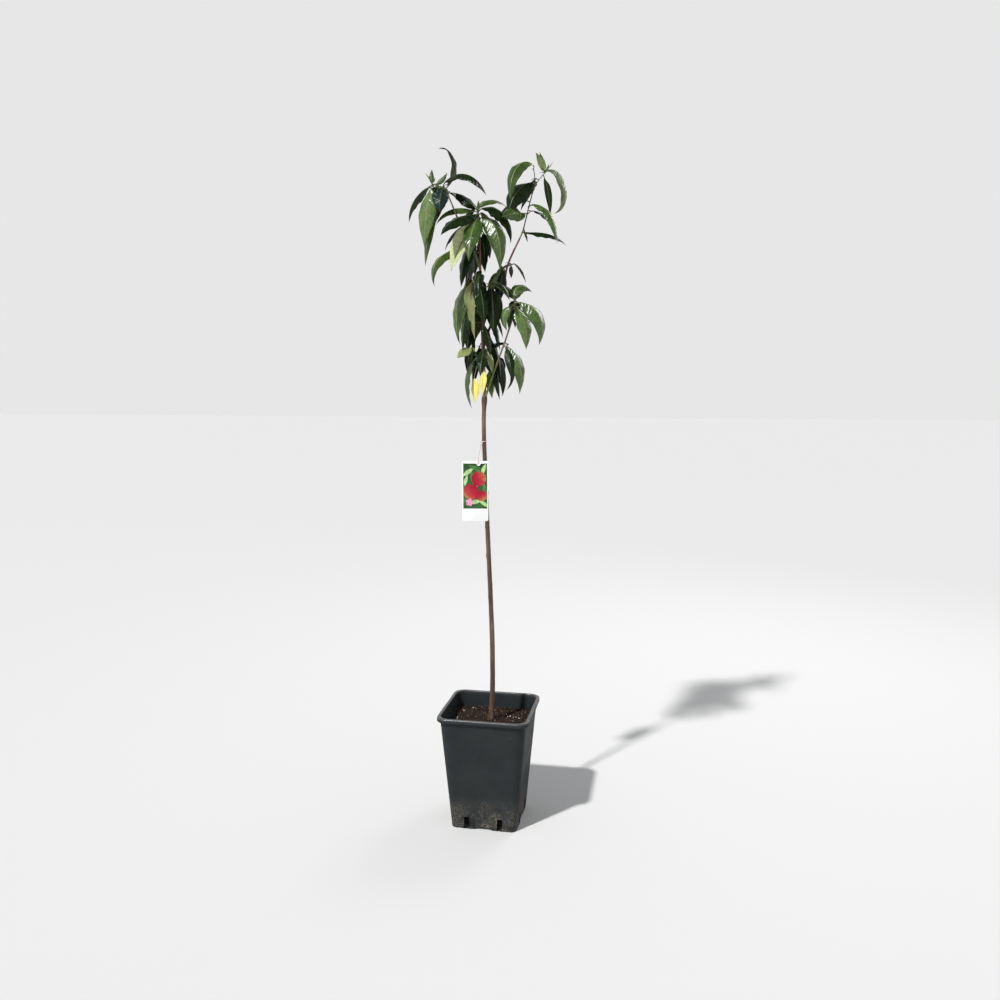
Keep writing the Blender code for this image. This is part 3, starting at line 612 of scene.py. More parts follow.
def buildSoil():
    top, low = soil["top"], pot["floorTop"] + gap
    rows = [squareRing(wallHalf(low) - pot["wall"] - gap, cornerRadius(low, pot["wall"]), low)]
    for ring in range(soil["rings"]):
        share = 1.0 - ring / soil["rings"]
        row = squareRing((wallHalf(top) - pot["wall"] - gap) * share,
                         cornerRadius(top, pot["wall"]) * share, top)
        rows.append([Vector((p.x, p.y, soilHeight(p.x, p.y, share))) for p in row])
    peat = mottled("soilPeat", 240.0, 0.95, 0.2, (0.3, soil["dark"]), (0.55, soil["mid"]),
                   (0.8, soil["pale"]), relief=(700.0, 0.001))
    # Painted shade on the faces that lie against the pot, seen through the drain slots
    packed = mottled("soilPacked", 200.0, 0.95, 0.05, (0.35, soil["packed"]), (0.8, soil["dark"]))
    sides = len(rows[0])
    faces = tubeFaces(len(rows), sides)
    buried = [int(k < sides or k == len(faces) - 2) for k in range(len(faces))]
    return addPiece("soilBed", [([p for row in rows for p in row], faces, buried)],
                    [peat, packed], "potting_mix", 60.0)


# Scatters lumps on upward faces: each is a small sphere, squashed, turned and roughened
def crumbTree(name, finish):
    tree, sockets, given = newTree(name, Density="Float", Smallest="Float", Largest="Float",
                                   Seed="Int")
    normal = addNode(tree, "GeometryNodeInputNormal").outputs[0]
    upward = addNode(tree, "FunctionNodeCompare", {
        "A": splitOf(tree, normal)["Z"], "B": soil["upwardFrom"]}, operation="GREATER_THAN")
    spread = addNode(tree, "GeometryNodeDistributePointsOnFaces", {
        "Mesh": given["Geometry"], "Density": given["Density"], "Seed": given["Seed"],
        "Selection": upward.outputs[0]})
    size = addNode(tree, "FunctionNodeRandomValue", {
        2: given["Smallest"], 3: given["Largest"], "Seed": given["Seed"]}, data_type="FLOAT")
    squash = anyVector(tree, *soil["crumbStretch"])
    lumps = onPoints(tree, spread.outputs["Points"], bead(tree),
                     anyVector(tree, (0.0, 0.0, 0.0), (6.283, 6.283, 6.283)),
                     vectorMath(tree, "SCALE", squash, size.outputs[1]))
    real = addNode(tree, "GeometryNodeRealizeInstances", {"Geometry": lumps}).outputs[0]
    scale, depth = soil["crumbGrain"]
    grain = addNode(tree, "ShaderNodeTexNoise", {"Scale": scale}).outputs["Color"]
    centred = vectorMath(tree, "SUBTRACT", grain, (0.5, 0.5, 0.5))
    rough = addNode(tree, "GeometryNodeSetPosition", {
        "Geometry": real, "Offset": vectorMath(tree, "SCALE", centred, depth)})
    endTree(tree, rough.outputs[0], finish)
    return tree, sockets


def buildCrumbs(bed):
    for name, finish in (
        ("fineCrumbs", mottled("crumbPeat", 330.0, 0.92, 0.2, (0.3, soil["dark"]),
                               (0.5, soil["mid"]), (0.75, soil["pale"]))),
        ("barkChips", mottled("crumbBark", 300.0, 0.85, 0.25, (0.3, soil["mid"]),
                              (0.6, soil["pale"]), (0.8, soil["chip"]), relief=(1400.0, 0.0004))),
        ("perliteGrains", mottled("crumbPerlite", 500.0, 0.8, 0.5, (0.3, soil["greyPerlite"]),
                                  (0.7, soil["perlite"]))),
    ):
        made = bareCopy(name, bed)
        density, smallest, largest, seed = soil[name]
        runTree(made, *crumbTree(name, finish), Density=density, Smallest=smallest,
                Largest=largest, Seed=seed)
        settle(made)


# The stem and the boughs, in the tree's own frame

trunk = {
    "route": (mm(4, 0, 244.3), mm(7, 1, 330), mm(6, 2, 450), mm(2, 3, 560), mm(-4, 2, 700),
              mm(-10, 1, 860), mm(-13, 0, 960), mm(-11, 0, 1034)),
    "sunk": 0.006,               # how far its foot goes on down into the mix
    "radius": 0.0062,
    "tipRadius": 0.0048,
    "flareRadius": 0.0105,
    "flareHeight": 0.045,
    "knobRadius": 0.0068,
    "cutFace": (1.0, 0.97, 0.86, 0.62),     # the last rings, where it was cut back
    "sides": 32,
    "step": 0.0018,
    "budStep": 0.034,            # from one old bud scar to the next
    "budHeight": 0.0007,
    "budShape": (1.6, 0.42),     # rings long and radians wide
    "scarShape": (2.6, 0.50),
    "scarPit": (0.6, 1.1, 0.22), # its depth as a share of the scar's height, then its shape
    "grain": 0.00022,
    # healed side twigs: share of the height, angle, height
    "scars": ((0.30, 4.3, 0.0016), (0.52, 2.2, 0.0013), (0.71, 5.6, 0.0015), (0.86, 3.6, 0.0014)),
}

limbs = {
    "leader": dict(
        route=(mm(-11, 1, 1026), mm(-12, 2, 1069), mm(-15, 4, 1150), mm(-18, 6, 1253),
               mm(-21, 6, 1339), mm(-22, 5, 1423)),
        radii=(0.0043, 0.0026), finish="leader"),
    "left_bough": dict(
        route=(mm(-20, 6, 1322), mm(-37, 0, 1365), mm(-57, -8, 1403), mm(-72, -14, 1435),
               mm(-82, -17, 1459)),
        radii=(0.0028, 0.0019), finish="young"),
    "right_bough": dict(
        route=(mm(-14, 5, 1142), mm(-3, 8, 1178), mm(16, 14, 1228), mm(33, 19, 1281),
               mm(43, 22, 1334), mm(71, 28, 1396)),
        radii=(0.0031, 0.0020), finish="red"),
    "right_shoot": dict(
        route=(mm(-9, -1, 1028), mm(-2, -5, 1050), mm(18, -10, 1106), mm(37, -14, 1158),
               mm(50, -18, 1196), mm(55, -19, 1217)),
        radii=(0.0024, 0.0017), finish="young"),
}

shoot = {
    "step": 0.0016,
    "sides": 20,
    "grain": 0.00010,
    "budHeight": 0.0006,
    "budShape": (2.0, 0.7),      # rings long and radians wide
    "budEvery": 15,              # rings
    "collar": (0.30, 0.006),     # how much thicker a limb starts, and over what length
}

bark = {
    "darkBrown": (0.026, 0.014, 0.0085),
    "redBrown": (0.078, 0.042, 0.023),
    "greyBrown": (0.185, 0.130, 0.082),
    "green": (0.120, 0.140, 0.050),
    "youngRed": (0.130, 0.058, 0.036),
    "rough": 0.52,
    "lenticel": (0.30, 0.21, 0.14),
    "lenticelSize": 0.0011,
    # least and most of its size round the stem, along it and out from it
    "lenticelShape": ((0.8, 0.35, 0.22), (1.9, 0.6, 0.34)),
    "lenticelDensity": 22000.0,
    "lenticelSeed": 2,
}


# Smooth young bark, red-brown to grey, with streaks along it and rings across it
def stemBark():
    made, shader, tree = newMaterial("stemBark", bark["rough"])
    tone = rampOf(tree, noiseOf(tree, 120.0, (1.0, 1.0, 0.10), 5.0), (0.30, bark["darkBrown"]),
                  (0.52, bark["redBrown"]), (0.78, bark["greyBrown"]))
    rings = rangeOf(tree, noiseOf(tree, 260.0, (0.35, 0.35, 2.6), 3.0), 0.60, 0.72, 0.0, 0.45)
    feed(shader, {"Base Color": mixOf(tree, rings, tone, bark["greyBrown"])})
    addBump(shader, noiseOf(tree, 420.0, (1.0, 1.0, 0.5)), 0.0005, 0.5)
    return made


# A green or reddish young shoot, flushed along its length
def shootBark(name, base, blush, amount):
    made, shader, tree = newMaterial(name, 0.42)
    flush = rangeOf(tree, noiseOf(tree, 46.0, (1.0, 1.0, 0.35)), 0.62 - amount, 0.78 - amount)
    feed(shader, {"Base Color": mixOf(tree, flush, bark[base], bark[blush])})
    addBump(shader, noiseOf(tree, 600.0, (1.0, 1.0, 0.3), 3.0), 0.0002, 0.4)
    return made


def trunkRadius(z, share):
    rise = (z - soil["top"]) / trunk["flareHeight"]
    flare = (trunk["flareRadius"] - trunk["radius"]) * math.exp(-3.0 * max(rise, -0.2))
    knob = (trunk["knobRadius"] - trunk["tipRadius"]) * math.exp(-((share - 0.985) / 0.016) ** 2)
    return trunk["radius"] + (trunk["tipRadius"] - trunk["radius"]) * share + flare + knob


def buildTrunk():
    route = smoothRoute(trunk["route"], 12)
    points = evenRoute([route[0] - Vector((0.0, 0.0, trunk["sunk"])), *route], trunk["step"])
    radii = [trunkRadius(p.z, s) for p, s in zip(points, shares(points))]
    count = len(points)
    rng = random.Random(4)
    every = int(trunk["budStep"] / trunk["step"])
    bumps = [(ring + rng.randint(-3, 3), n * nodeTurn, trunk["budHeight"] * rng.uniform(0.6, 1.3),
              *trunk["budShape"]) for n, ring in enumerate(range(14, count - 14, every))]
    deep, *pit = trunk["scarPit"]
    for share, angle, height in trunk["scars"]:
        bumps += [(share * count, angle, height, *trunk["scarShape"]),
                  (share * count, angle, -deep * height, *pit)]
    for k, part in enumerate(trunk["cutFace"], count - len(trunk["cutFace"])):
        radii[k] *= part
    vertices, faces = tube(points, radii, trunk["sides"], trunk["grain"], bumps)
    return addPiece("stem", [(turned(vertices), faces)], [stemBark()], "trunk", 70.0)


def limbPath(name, step=None):   # its points, every step metres where given, and their radii
    points = smoothRoute(limbs[name]["route"], 4)
    if step:
        points = evenRoute(points, step)
    start, end = limbs[name]["radii"]
    return points, [start + (end - start) * share ** 0.8 for share in shares(points)]


def buildLimbs():
    finishes = {
        "leader": shootBark("leaderBark", "youngRed", "green", 0.05),
        "young": shootBark("youngBark", "green", "youngRed", 0.08),
        "red": shootBark("redBark", "youngRed", "green", -0.04),
    }
    for name, limb in limbs.items():
        points, radii = limbPath(name, shoot["step"])
        more, reach = shoot["collar"]
        radii = [radius * (1.0 + more * math.exp(-i * shoot["step"] / reach))
                 for i, radius in enumerate(radii)]
        rng = random.Random(len(name))
        bumps = [(ring + rng.randint(-2, 2), n * nodeTurn,
                  shoot["budHeight"] * rng.uniform(0.7, 1.2), *shoot["budShape"])
                 for n, ring in enumerate(range(12, len(points) - 4, shoot["budEvery"]))]
        vertices, faces = tube(points, radii, shoot["sides"], shoot["grain"], bumps)
        addPiece(name + "_shoot", [(turned(vertices), faces)], [finishes[limb["finish"]]],
                 name, 70.0)
    return finishes


# Small raised lenticels on the bark, longer round the stem than along it
def buildLenticels(stem):
    finish, shader, _ = newMaterial("lenticelCork", 0.7)
    feed(shader, {"Base Color": bark["lenticel"]})
    tree, sockets, given = newTree("lenticels", Density="Float", Size="Float", Seed="Int")
    spread = addNode(tree, "GeometryNodeDistributePointsOnFaces", {
        "Mesh": given["Geometry"], "Density": given["Density"], "Seed": given["Seed"]})
    outward = pointTo(tree, "Z", {"Vector": spread.outputs["Normal"]})
    upright = pointTo(tree, "Y", {"Rotation": outward, "Vector": (0.0, 0.0, 1.0)}, pivot_axis="Z")
    shape = anyVector(tree, *bark["lenticelShape"])
    endTree(tree, onPoints(tree, spread.outputs["Points"], bead(tree), upright,
                           vectorMath(tree, "SCALE", shape, given["Size"])), finish)
    made = bareCopy("lenticels", stem)
    runTree(made, tree, sockets, Density=bark["lenticelDensity"], Size=bark["lenticelSize"],
            Seed=bark["lenticelSeed"])
    settle(made)


# The leaf masses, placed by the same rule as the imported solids

leafRule = {
    "width": 0.24,
    "thickness": 0.012,
    "fold": 26.0,
    "steps": 24,
    "stations": (0, 2, 4, 8, 12, 16, 20, 24),
    "bladeFrom": 4,
    "petioleSteps": 2,
    "petioleRadius": 0.0011,
    "clearance": 0.0010,
    "tries": 24,
    "setSwing": 1.5,
    "moreSwing": 2.5,
    "stemSides": 5,
    "limbSides": 10,
    "stemSpanSteps": 2,
    "stemRadius": 0.0016,
    "stemTaper": 0.0005,
    "tipStart": 0.004,
    "sideStart": 0.003,
    "twigRadius": 0.0013,
    "twigLength": (0.008, 0.016),
    "twigRise": (15, 50),
    "moreRise": (0, 30),
    "moreFall": (-100, -70),
    "moreBend": (0.6, 1.0),
    "moreLength": (86, 116),
    "moreRoll": (-20, 20),
    "golden": 0.618,
}


# A leaf at the share at of its stem, or at the tip of twig number on: its midrib starts at the
# elevation rise and ends at fall, in degrees, and its length is in millimetres
def leaf(at, heading, rise, fall, bend, length, tint, roll=0.0, width=leafRule["width"], on=0):
    return dict(at=at, heading=heading, rise=rise, fall=fall, bend=bend, length=length / 1000.0,
                tint=tint, roll=roll, width=width, on=on)


# What a leaf of the picture changes: turn and twist roll its blade in degrees, broad is its
# breadth, fold how its halves lie, start the share that is stalk, and the rest is its route
def trim(turn=None, broad=None, fold=None, length=None, heading=None, rise=None, fall=None,
         bend=None, **more):
    more.update(turn=turn, broad=broad, fold=fold, length=length and length / 1000.0,
                heading=heading, rise=rise, fall=fall, bend=bend)
    return {name: value for name, value in more.items() if value is not None}


# The leaves of a mass as leaf takes them, then its trims by the leaf's number
# Their deep tint is painted shade, for leaves that stand in shade
masses = {
    "foliage_left_top": dict(
        tipOf="left_bough", more=3, fan=(90, 40), seed=11,
        stem=(mm(-91, -18, 1481), mm(-99, -18, 1496), mm(-115, -19, 1503), mm(-128, -20, 1507)),
        leaves=[(0.56, 196, 127, -50, 2, 128, "deep"), (0.66, -34, 84, -66, 0.5, 132, "deep"),
                (0.99, 160, 76, 83, 1, 32, "fresh", 0, 0.34),
                (0.93, -10, 20, 61, 1, 40, "mid", 0, 0.3),
                (0.98, 205, -58, -88, 0.4, 148, "fresh", -25, 0.27),
                (0.95, 150, -14, -104, 1.4, 108, "deep"),
                # a bluish leaf in painted shade, with a painted sky reflection
                (0.62, -100, -28, -115, 1.4, 76, "blue", 0, 0.34),
                (0.78, 170, -92, -69, 0.6, 146, "fresh", 0, 0.2)],
        trims={0: trim(-22, 0.95, -10, 138, 227, 143, -40, 1.5, twist=-40),
               1: trim(14, 0.95, -34, 154, None, 62, -70, 0.68),
               2: trim(-75, 1.05, fall=104, tint="mid"), 3: trim(75, 1.1, tint="mid"),
               4: trim(-10, 1.1, -10, 142, 216, -63, -88),
               5: trim(-50, 1.5, -24, 113, 154, -17, -102), 6: trim(-20, 1.5),
               7: trim(-60, 0.85, -8, 180, 174, -68, -87, tint="mid"), 8: trim(heading=130),
               10: trim(heading=116)}),
    "foliage_centre_top": dict(
        tipOf="leader", more=4, fan=(92, 45), seed=12,
        stem=(mm(-23, 3, 1439), mm(-25, 2, 1452)),
        leaves=[(0.96, 155, 47, -8, 2.2, 96, "deep"), (0.86, 184, 22, -76, 1.4, 114, "mid"),
                (0.72, 214, -5, -60, 1.5, 134, "deep", 20), (0.6, -104, -30, -94, 1.6, 148, "mid"),
                (0.3, 222, -38, -73, 0.9, 150, "pale", 150), (0.75, -30, -43, -90, 1.8, 132, "mid"),
                (0.9, 12, 50, -108, 0.65, 138, "deep"), (0.98, 62, 70, -30, 0.65, 120, "mid")],
        trims={0: trim(-34, 1.4), 1: trim(-26, 1.3), 2: trim(-40, 1.5),
               3: trim(None, 1.2, -10, tint="mid"), 4: trim(0, 1.25, -8),
               5: trim(28, 1.15, -26, 166, -45, -4, -104, 0.66), 6: trim(40, 1.6, rise=56),
               7: trim(24, 0.95, None, 118, 48)}),
    "foliage_right_top": dict(
        tipOf="right_bough", more=4, fan=(90, 40), seed=13,
        stem=(mm(78, 29, 1412), mm(87, 31, 1448), mm(96, 33, 1484), mm(108, 35, 1518),
              mm(129, 37, 1544)),
        twigs=((0.78, 180, 82, 34),),
        leaves=[(1, 186, 90, -129, 0.5, 142, "mid", 0, 0.24, 1),
                (0.78, 205, 47, -81, 0.35, 118, "deep", 0, 0.28),
                (0.98, 12, 6, -162, 0.9, 141, "mid"), (0.99, 200, 72, 52, 1, 50, "fresh", 0, 0.27),
                (0.96, -20, -82, -82, 1, 98, "deep", 0, 0.17),
                (0.44, -25, 20, -96, 0.5, 135, "mid"), (0.08, 24, 2, -49, 2, 122, "deep"),
                (0.36, 232, -7, -20, 1.2, 98, "mid"), (0.14, -20, -58, -86, 0.9, 46, "mid")],
        trims={0: trim(-30, 0.9, -32, 155, 226, 102, -101, 0.38), 1: trim(-46, 1.6, -32),
               2: trim(42, 1.05, -32, 182, 44, 44, -176, 0.91, tint="fresh"), 3: trim(80, 1.3, -10),
               4: trim(75, 1, None, 96, None, -65, -89, 0.6),
               5: trim(18, 0.85, None, 140, -39, 48, -92, 0.45), 6: trim(20, 1.15, rise=6),
               7: trim(-62, 1.5, -10), 8: trim(length=34), 9: trim(heading=28),
               10: trim(heading=168), 11: trim(heading=158), 12: trim(broad=1.6)}),
    "foliage_right_mid": dict(
        tipOf="right_shoot", more=3, fan=(96, 30), seed=14,
        stem=(mm(57, -21, 1232), mm(59, -23, 1248)),
        leaves=[(0.97, 26, 130, -60, 0.8, 78, "mid"), (0.85, -20, 10, -121, 0.85, 140, "mid"),
                (0.7, -46, -34, -104, 0.9, 116, "fresh"), (0.5, -80, -60, -90, 1, 70, "deep"),
                (0.75, 204, -14, -136, 0.95, 76, "fresh")],
        trims={0: trim(40, 1.9, twist=40), 1: trim(36, 1.35, -32),
               2: trim(10, 1.5, -12, tint="fresh"), 3: trim(length=48), 4: trim(-40, 1.2)}),
    "foliage_right_spur": dict(
        sideOf="right_bough", height=1.334, heading=10, stemLength=0.012, stemRise=30,
        more=1, fan=(110, 20), seed=15,
        leaves=[(0.95, 34, 24, -74, 0.6, 72, "mid", 0, 0.15),
                (0.6, 60, -24, -41, 1, 50, "deep", 0, 0.18)],
        trims={0: trim(20, 1.2, heading=54), 1: trim(20, 1.2, heading=90),
               2: trim(length=52, heading=150)}),
    "foliage_bough_left": dict(
        sideOf="right_bough", height=1.322, heading=200, stemLength=0.009, stemRise=40,
        more=1, fan=(130, 10), seed=25,
        leaves=[(0.95, 192, 12, -102, 0.5, 112, "deep"), (0.6, 250, -50, -90, 0.7, 96, "deep")],
        trims={0: trim(-44, 0.9, -32, 96, 214, -32, bend=0.8, tint="mid"),
               1: trim(-30, 1.5, None, 84), 2: trim(heading=98)}),
    "foliage_left_spur": dict(
        sideOf="leader", height=1.352, heading=176, stemLength=0.034, stemRise=28,
        more=1, fan=(110, 30), seed=16,
        leaves=[(0.98, 196, -18, -132, 1.8, 148, "deep"), (0.45, 118, -50, -94, 0.8, 124, "deep")],
        trims={0: trim(-20, 0.75, -36, 163, 227, -17, -132, 2.5, tint="mid"),
               1: trim(-50, 1.6, -12), 2: trim(broad=1.4)}),
    "foliage_inner_front": dict(
        sideOf="leader", height=1.302, heading=243, stemLength=0.027, stemRise=20,
        more=2, fan=(300, 30), seed=18,
        leaves=[(0.96, 200, -55, -114, 0.35, 150, "olive", 160),
                (0.7, 306, -52, -92, 0.7, 122, "deep")],
        trims={0: trim(0, 0.85, 16, fall=-104), 1: trim(None, 1.25, -12), 3: trim(heading=262)}),
    "foliage_inner_left": dict(
        sideOf="leader", height=1.29, heading=188, stemLength=0.028, stemRise=20,
        more=2, fan=(112, 30), seed=17,
        leaves=[(0.97, 174, -64, -114, 1.8, 152, "deep"), (0.75, 214, -71, -100, 1.4, 137, "mid"),
                (0.5, 150, -60, -92, 0.8, 128, "deep")],
        trims={0: trim(-30, 1.05, -32, 164, None, -67, -128, 2.4, tint="mid"),
               1: trim(-40, 1.4, -12, 150), 2: trim(-50, 1.5, -12, 144), 4: trim(heading=88)}),
    "foliage_inner_right": dict(
        sideOf="leader", height=1.279, heading=-34, stemLength=0.026, stemRise=22,
        more=1, fan=(-40, 20), seed=19,
        leaves=[(0.97, -16, -50, -83, 0.4, 116, "deep", 0, 0.3),
                (0.75, -70, -66, -92, 0.8, 128, "deep", 0, 0.28)],
        trims={0: trim(24, 1.3, heading=-72), 1: trim(None, 1.2, -12, 94)}),
    "foliage_inner_back": dict(
        sideOf="leader", height=1.24, heading=92, stemLength=0.034, stemRise=25,
        more=5, fan=(90, 50), seed=20,
        leaves=[(0.6, 12, -40, -86, 0.6, 110, "deep", 0, 0.28)],
        trims={0: trim(40, 1.4, heading=150, tint="mid"), 3: trim(heading=150)}),
    "foliage_low_right": dict(
        sideOf="right_shoot", height=1.147, heading=6, stemLength=0.008, stemRise=10,
        more=1, fan=(90, 20), seed=21,
        leaves=[(0.96, -24, -14, -108, 0.6, 125, "mid"), (0.7, 30, -46, -148, 1.2, 114, "deep"),
                (0.5, -70, -30, -96, 0.8, 84, "deep")],
        trims={0: trim(24, 1.1, -32, None, -40), 1: trim(40, 1.3), 3: trim(heading=150)}),
    "foliage_low_left": dict(
        sideOf="leader", height=1.108, heading=186, stemLength=0.044, stemRise=62,
        more=2, fan=(110, 40), seed=22,
        leaves=[(0.42, 174, -28, -117, 0.55, 121, "deep"),
                (0.98, 214, 20, -71, 0.4, 60, "pale", 0, 0.34),
                (0.25, 196, -66, -101, 0.9, 100, "yellow")],
        trims={0: trim(-26, 1, -32, 132, None, -23, -122, 0.6, tint="olive"),
               1: trim(-36, 1.6, None, 52, fall=-52), 2: trim(-30, 1.15, start=0.42),
               4: trim(heading=104)}),
    "foliage_low_front": dict(
        sideOf="leader", height=1.13, heading=-55, stemLength=0.02, stemRise=40,
        more=1, fan=(-80, 20), seed=23, tone="mid",
        leaves=[(0.97, 246, -73, -95, 0.9, 108, "yellow", 0, 0.15),
                (0.8, -50, -50, -92, 0.9, 60, "pale", 0, 0.22)],
        trims={0: trim(None, 1.1, -8, None, 236, None, -100, 3, start=0.5), 1: trim(broad=1.2),
               2: trim(heading=262, tint="deep")}),
    "foliage_low_back": dict(
        sideOf="leader", height=1.122, heading=66, stemLength=0.026, stemRise=30,
        more=4, fan=(104, 50), seed=24,
        leaves=[(0.97, 24, -58, -116, 2.3, 130, "deep", 0, 0.3),
                (0.6, 2, -68, -98, 1.4, 110, "deep", 0, 0.26)],
        trims={0: trim(40, 1.7, -28, 132, None, -9, -118, 0.7),
               1: trim(30, 1.7, None, 114, None, -30, -101, 0.3, start=0.4, tint="fresh"),
               2: trim(None, 1.6, None, 112), 5: trim(heading=120)}),
}


def bladeShape(s):               # blunt base, widest before the middle, a long fine tip
    return s ** 0.75 * max(0.0, 1 - s) ** 1.2 / (0.385 ** 0.75 * 0.615 ** 1.2)


def bladeHalfWidth(spec, step):
    first = leafRule["petioleSteps"]
    if step <= first:
        return leafRule["petioleRadius"]
    shape = bladeShape((step - first) / (leafRule["steps"] - first))
    return max(leafRule["petioleRadius"], 0.5 * spec["width"] * spec["length"] * shape)


# The midrib's points, with the directions along, across and up at each
def midrib(spec, root):
    rows = []
    point = root.copy()
    steps = leafRule["steps"]
    level = aim(spec["heading"] + 90.0, 0.0)
    for step in range(steps + 1):
        s = step / steps
        along = aim(spec["heading"],
                    spec["rise"] + (spec["fall"] - spec["rise"]) * s ** spec["bend"])
        across = Matrix.Rotation(math.radians(spec["roll"]) * min(1.0, 2 * s), 3, along) @ level
        rows.append((point.copy(), along, across, along.cross(across)))
        point += along * spec["length"] / steps
    return rows


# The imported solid's own leaf, which decides where there is room for one
def coarseLeaf(spec, root, grow=0.0, first=0):
    rows = midrib(spec, root)
    stations = [n for n in leafRule["stations"] if n >= first]
    vertices = []
    for step in stations[:-1]:
        point, _, across, up = rows[step]
        half = bladeHalfWidth(spec, step) + grow
        fold, thick = 0.0, leafRule["petioleRadius"]
        if step > leafRule["petioleSteps"]:
            fold = math.radians(leafRule["fold"])
            thick = 0.5 * leafRule["thickness"] * spec["length"]
        side, lift = across * half * math.cos(fold), up * half * math.sin(fold)
        vertices += [point + side + lift, point + up * (thick + grow),
                     point - side + lift, point - up * (thick + grow)]
    vertices.append(rows[-1][0] + rows[-1][1] * grow)
    last = 4 * (len(stations) - 2)
    faces = [(3, 2, 1, 0)] + tubeFaces(len(stations) - 1, 4)[:-2]
    return vertices, faces + [(last + k, last + (k + 1) % 4, last + 4) for k in range(4)]


def nearest(points, height):
    return min(range(len(points)), key=lambda n: abs(points[n].z - height))


# The route of a mass's own stem, from beside the limb that carries it or from its tip
def stemPoints(mass, carried):
    if "tipOf" in mass:
        points, _ = carried[mass["tipOf"]]
        ahead = (points[-1] - points[-2]).normalized()
        start = points[-1] + ahead * gap
        onward = (start + ahead * leafRule["tipStart"], *mass["stem"])
    else:
        points, radii = carried[mass["sideOf"]]
        i = nearest(points, mass["height"])
        ahead = (points[min(i + 1, len(points) - 1)] - points[i - 1]).normalized()
        out = aim(mass["heading"], 0.0)
        out = (out - ahead * out.dot(ahead)).normalized()
        start = points[i] + out * (radii[i] + 2 * gap)
        rise = math.radians(mass["stemRise"])
        end = start + mass["stemLength"] * (out * math.cos(rise)
                                            + Vector((0.0, 0.0, math.sin(rise))))
        onward = (start + out * leafRule["sideStart"], start.lerp(end, 0.6), end)
    return [start, *smoothRoute(onward, leafRule["stemSpanSteps"])]


def solid(shape):
    return BVHTree.FromPolygons(*shape)


# What is already placed, so that a new twig or leaf can be turned clear of it
class Space:
    def __init__(self, carried):
        self.limbs = [solid(tube(points, [r + 2 * gap for r in radii], leafRule["limbSides"]))
                      for points, radii in carried.values()]
        self.placed = []         # the mass of each stem, twig and leaf, its whole and its blade

    def add(self, mass, whole, blade):
        self.placed.append((mass, whole, blade))

    def isFree(self, mass, whole, blade):
        return not any(whole.overlap(limb) for limb in self.limbs) and not any(
            blade.overlap(otherBlade) if name == mass else whole.overlap(otherWhole)
            for name, otherWhole, otherBlade in self.placed)

    def isClear(self, blade):    # of every limb and every blade
        return not any(blade.overlap(limb) for limb in self.limbs) and not any(
            blade.overlap(other) for _, _, other in self.placed)


# The leaf as given, or turned a little until it is free, or None where it finds no room
def placeLeaf(space, mass, spec, root, rng, swing):
    for attempt in range(leafRule["tries"]):
        moved = dict(spec)
        for angle, part in (("heading", 1.0), ("rise", 0.6), ("fall", 0.4)):
            moved[angle] += part * swing * attempt * rng.uniform(-1, 1)
        whole = solid(coarseLeaf(moved, root, leafRule["clearance"]))
        blade = solid(coarseLeaf(moved, root, leafRule["clearance"], leafRule["bladeFrom"]))
        if space.isFree(mass, whole, blade):
            space.add(mass, whole, blade)
            return moved
    return None


def twigRoute(start, heading, rise, length):
    end = start + aim(heading, rise) * length
    return [start, start.lerp(end, 0.5), end]


def seededTwigs(mass, stem, rng):
    middle, spread = mass["fan"]
    twigs = []
    for n in range(mass["more"]):
        start = pointAt(stem, 0.25 + 0.7 * (n + 0.5) / mass["more"])
        heading = middle + spread * (2 * ((n * leafRule["golden"]) % 1.0) - 1) + rng.uniform(-8, 8)
        length = rng.uniform(*leafRule["twigLength"])
        twigs.append((heading, twigRoute(start, heading, rng.uniform(*leafRule["twigRise"]),
                                         length)))
    return twigs


def twigTube(twig, grow=0.0):
    radii = [leafRule["twigRadius"] * k + grow for k in (1.0, 0.95, 0.85)]
    return solid(tube(twig, radii, leafRule["stemSides"]))


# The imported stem's own points and radii, which the leaves keep clear of
def trunkSolid():
    route = smoothRoute(trunk["route"])
    points = [pointAt(route, share) for share in (0.0, 0.006, 0.015, 0.03, 0.055)]
    points += [p for p, share in zip(route, shares(route)) if 0.07 < share < 0.945][::2]
    points += [pointAt(route, share) for share in (0.955, 0.972, 0.985, 0.995, 1.0)]
    points[0] = Vector((points[0].x, points[0].y, soil["top"] + gap))
    points[1] = Vector((points[0].x, points[0].y, points[1].z))
    radii = [trunkRadius(p.z, s) for p, s in zip(points, shares(points))]
    radii[-1] = 0.72 * radii[-2]
    return points, radii


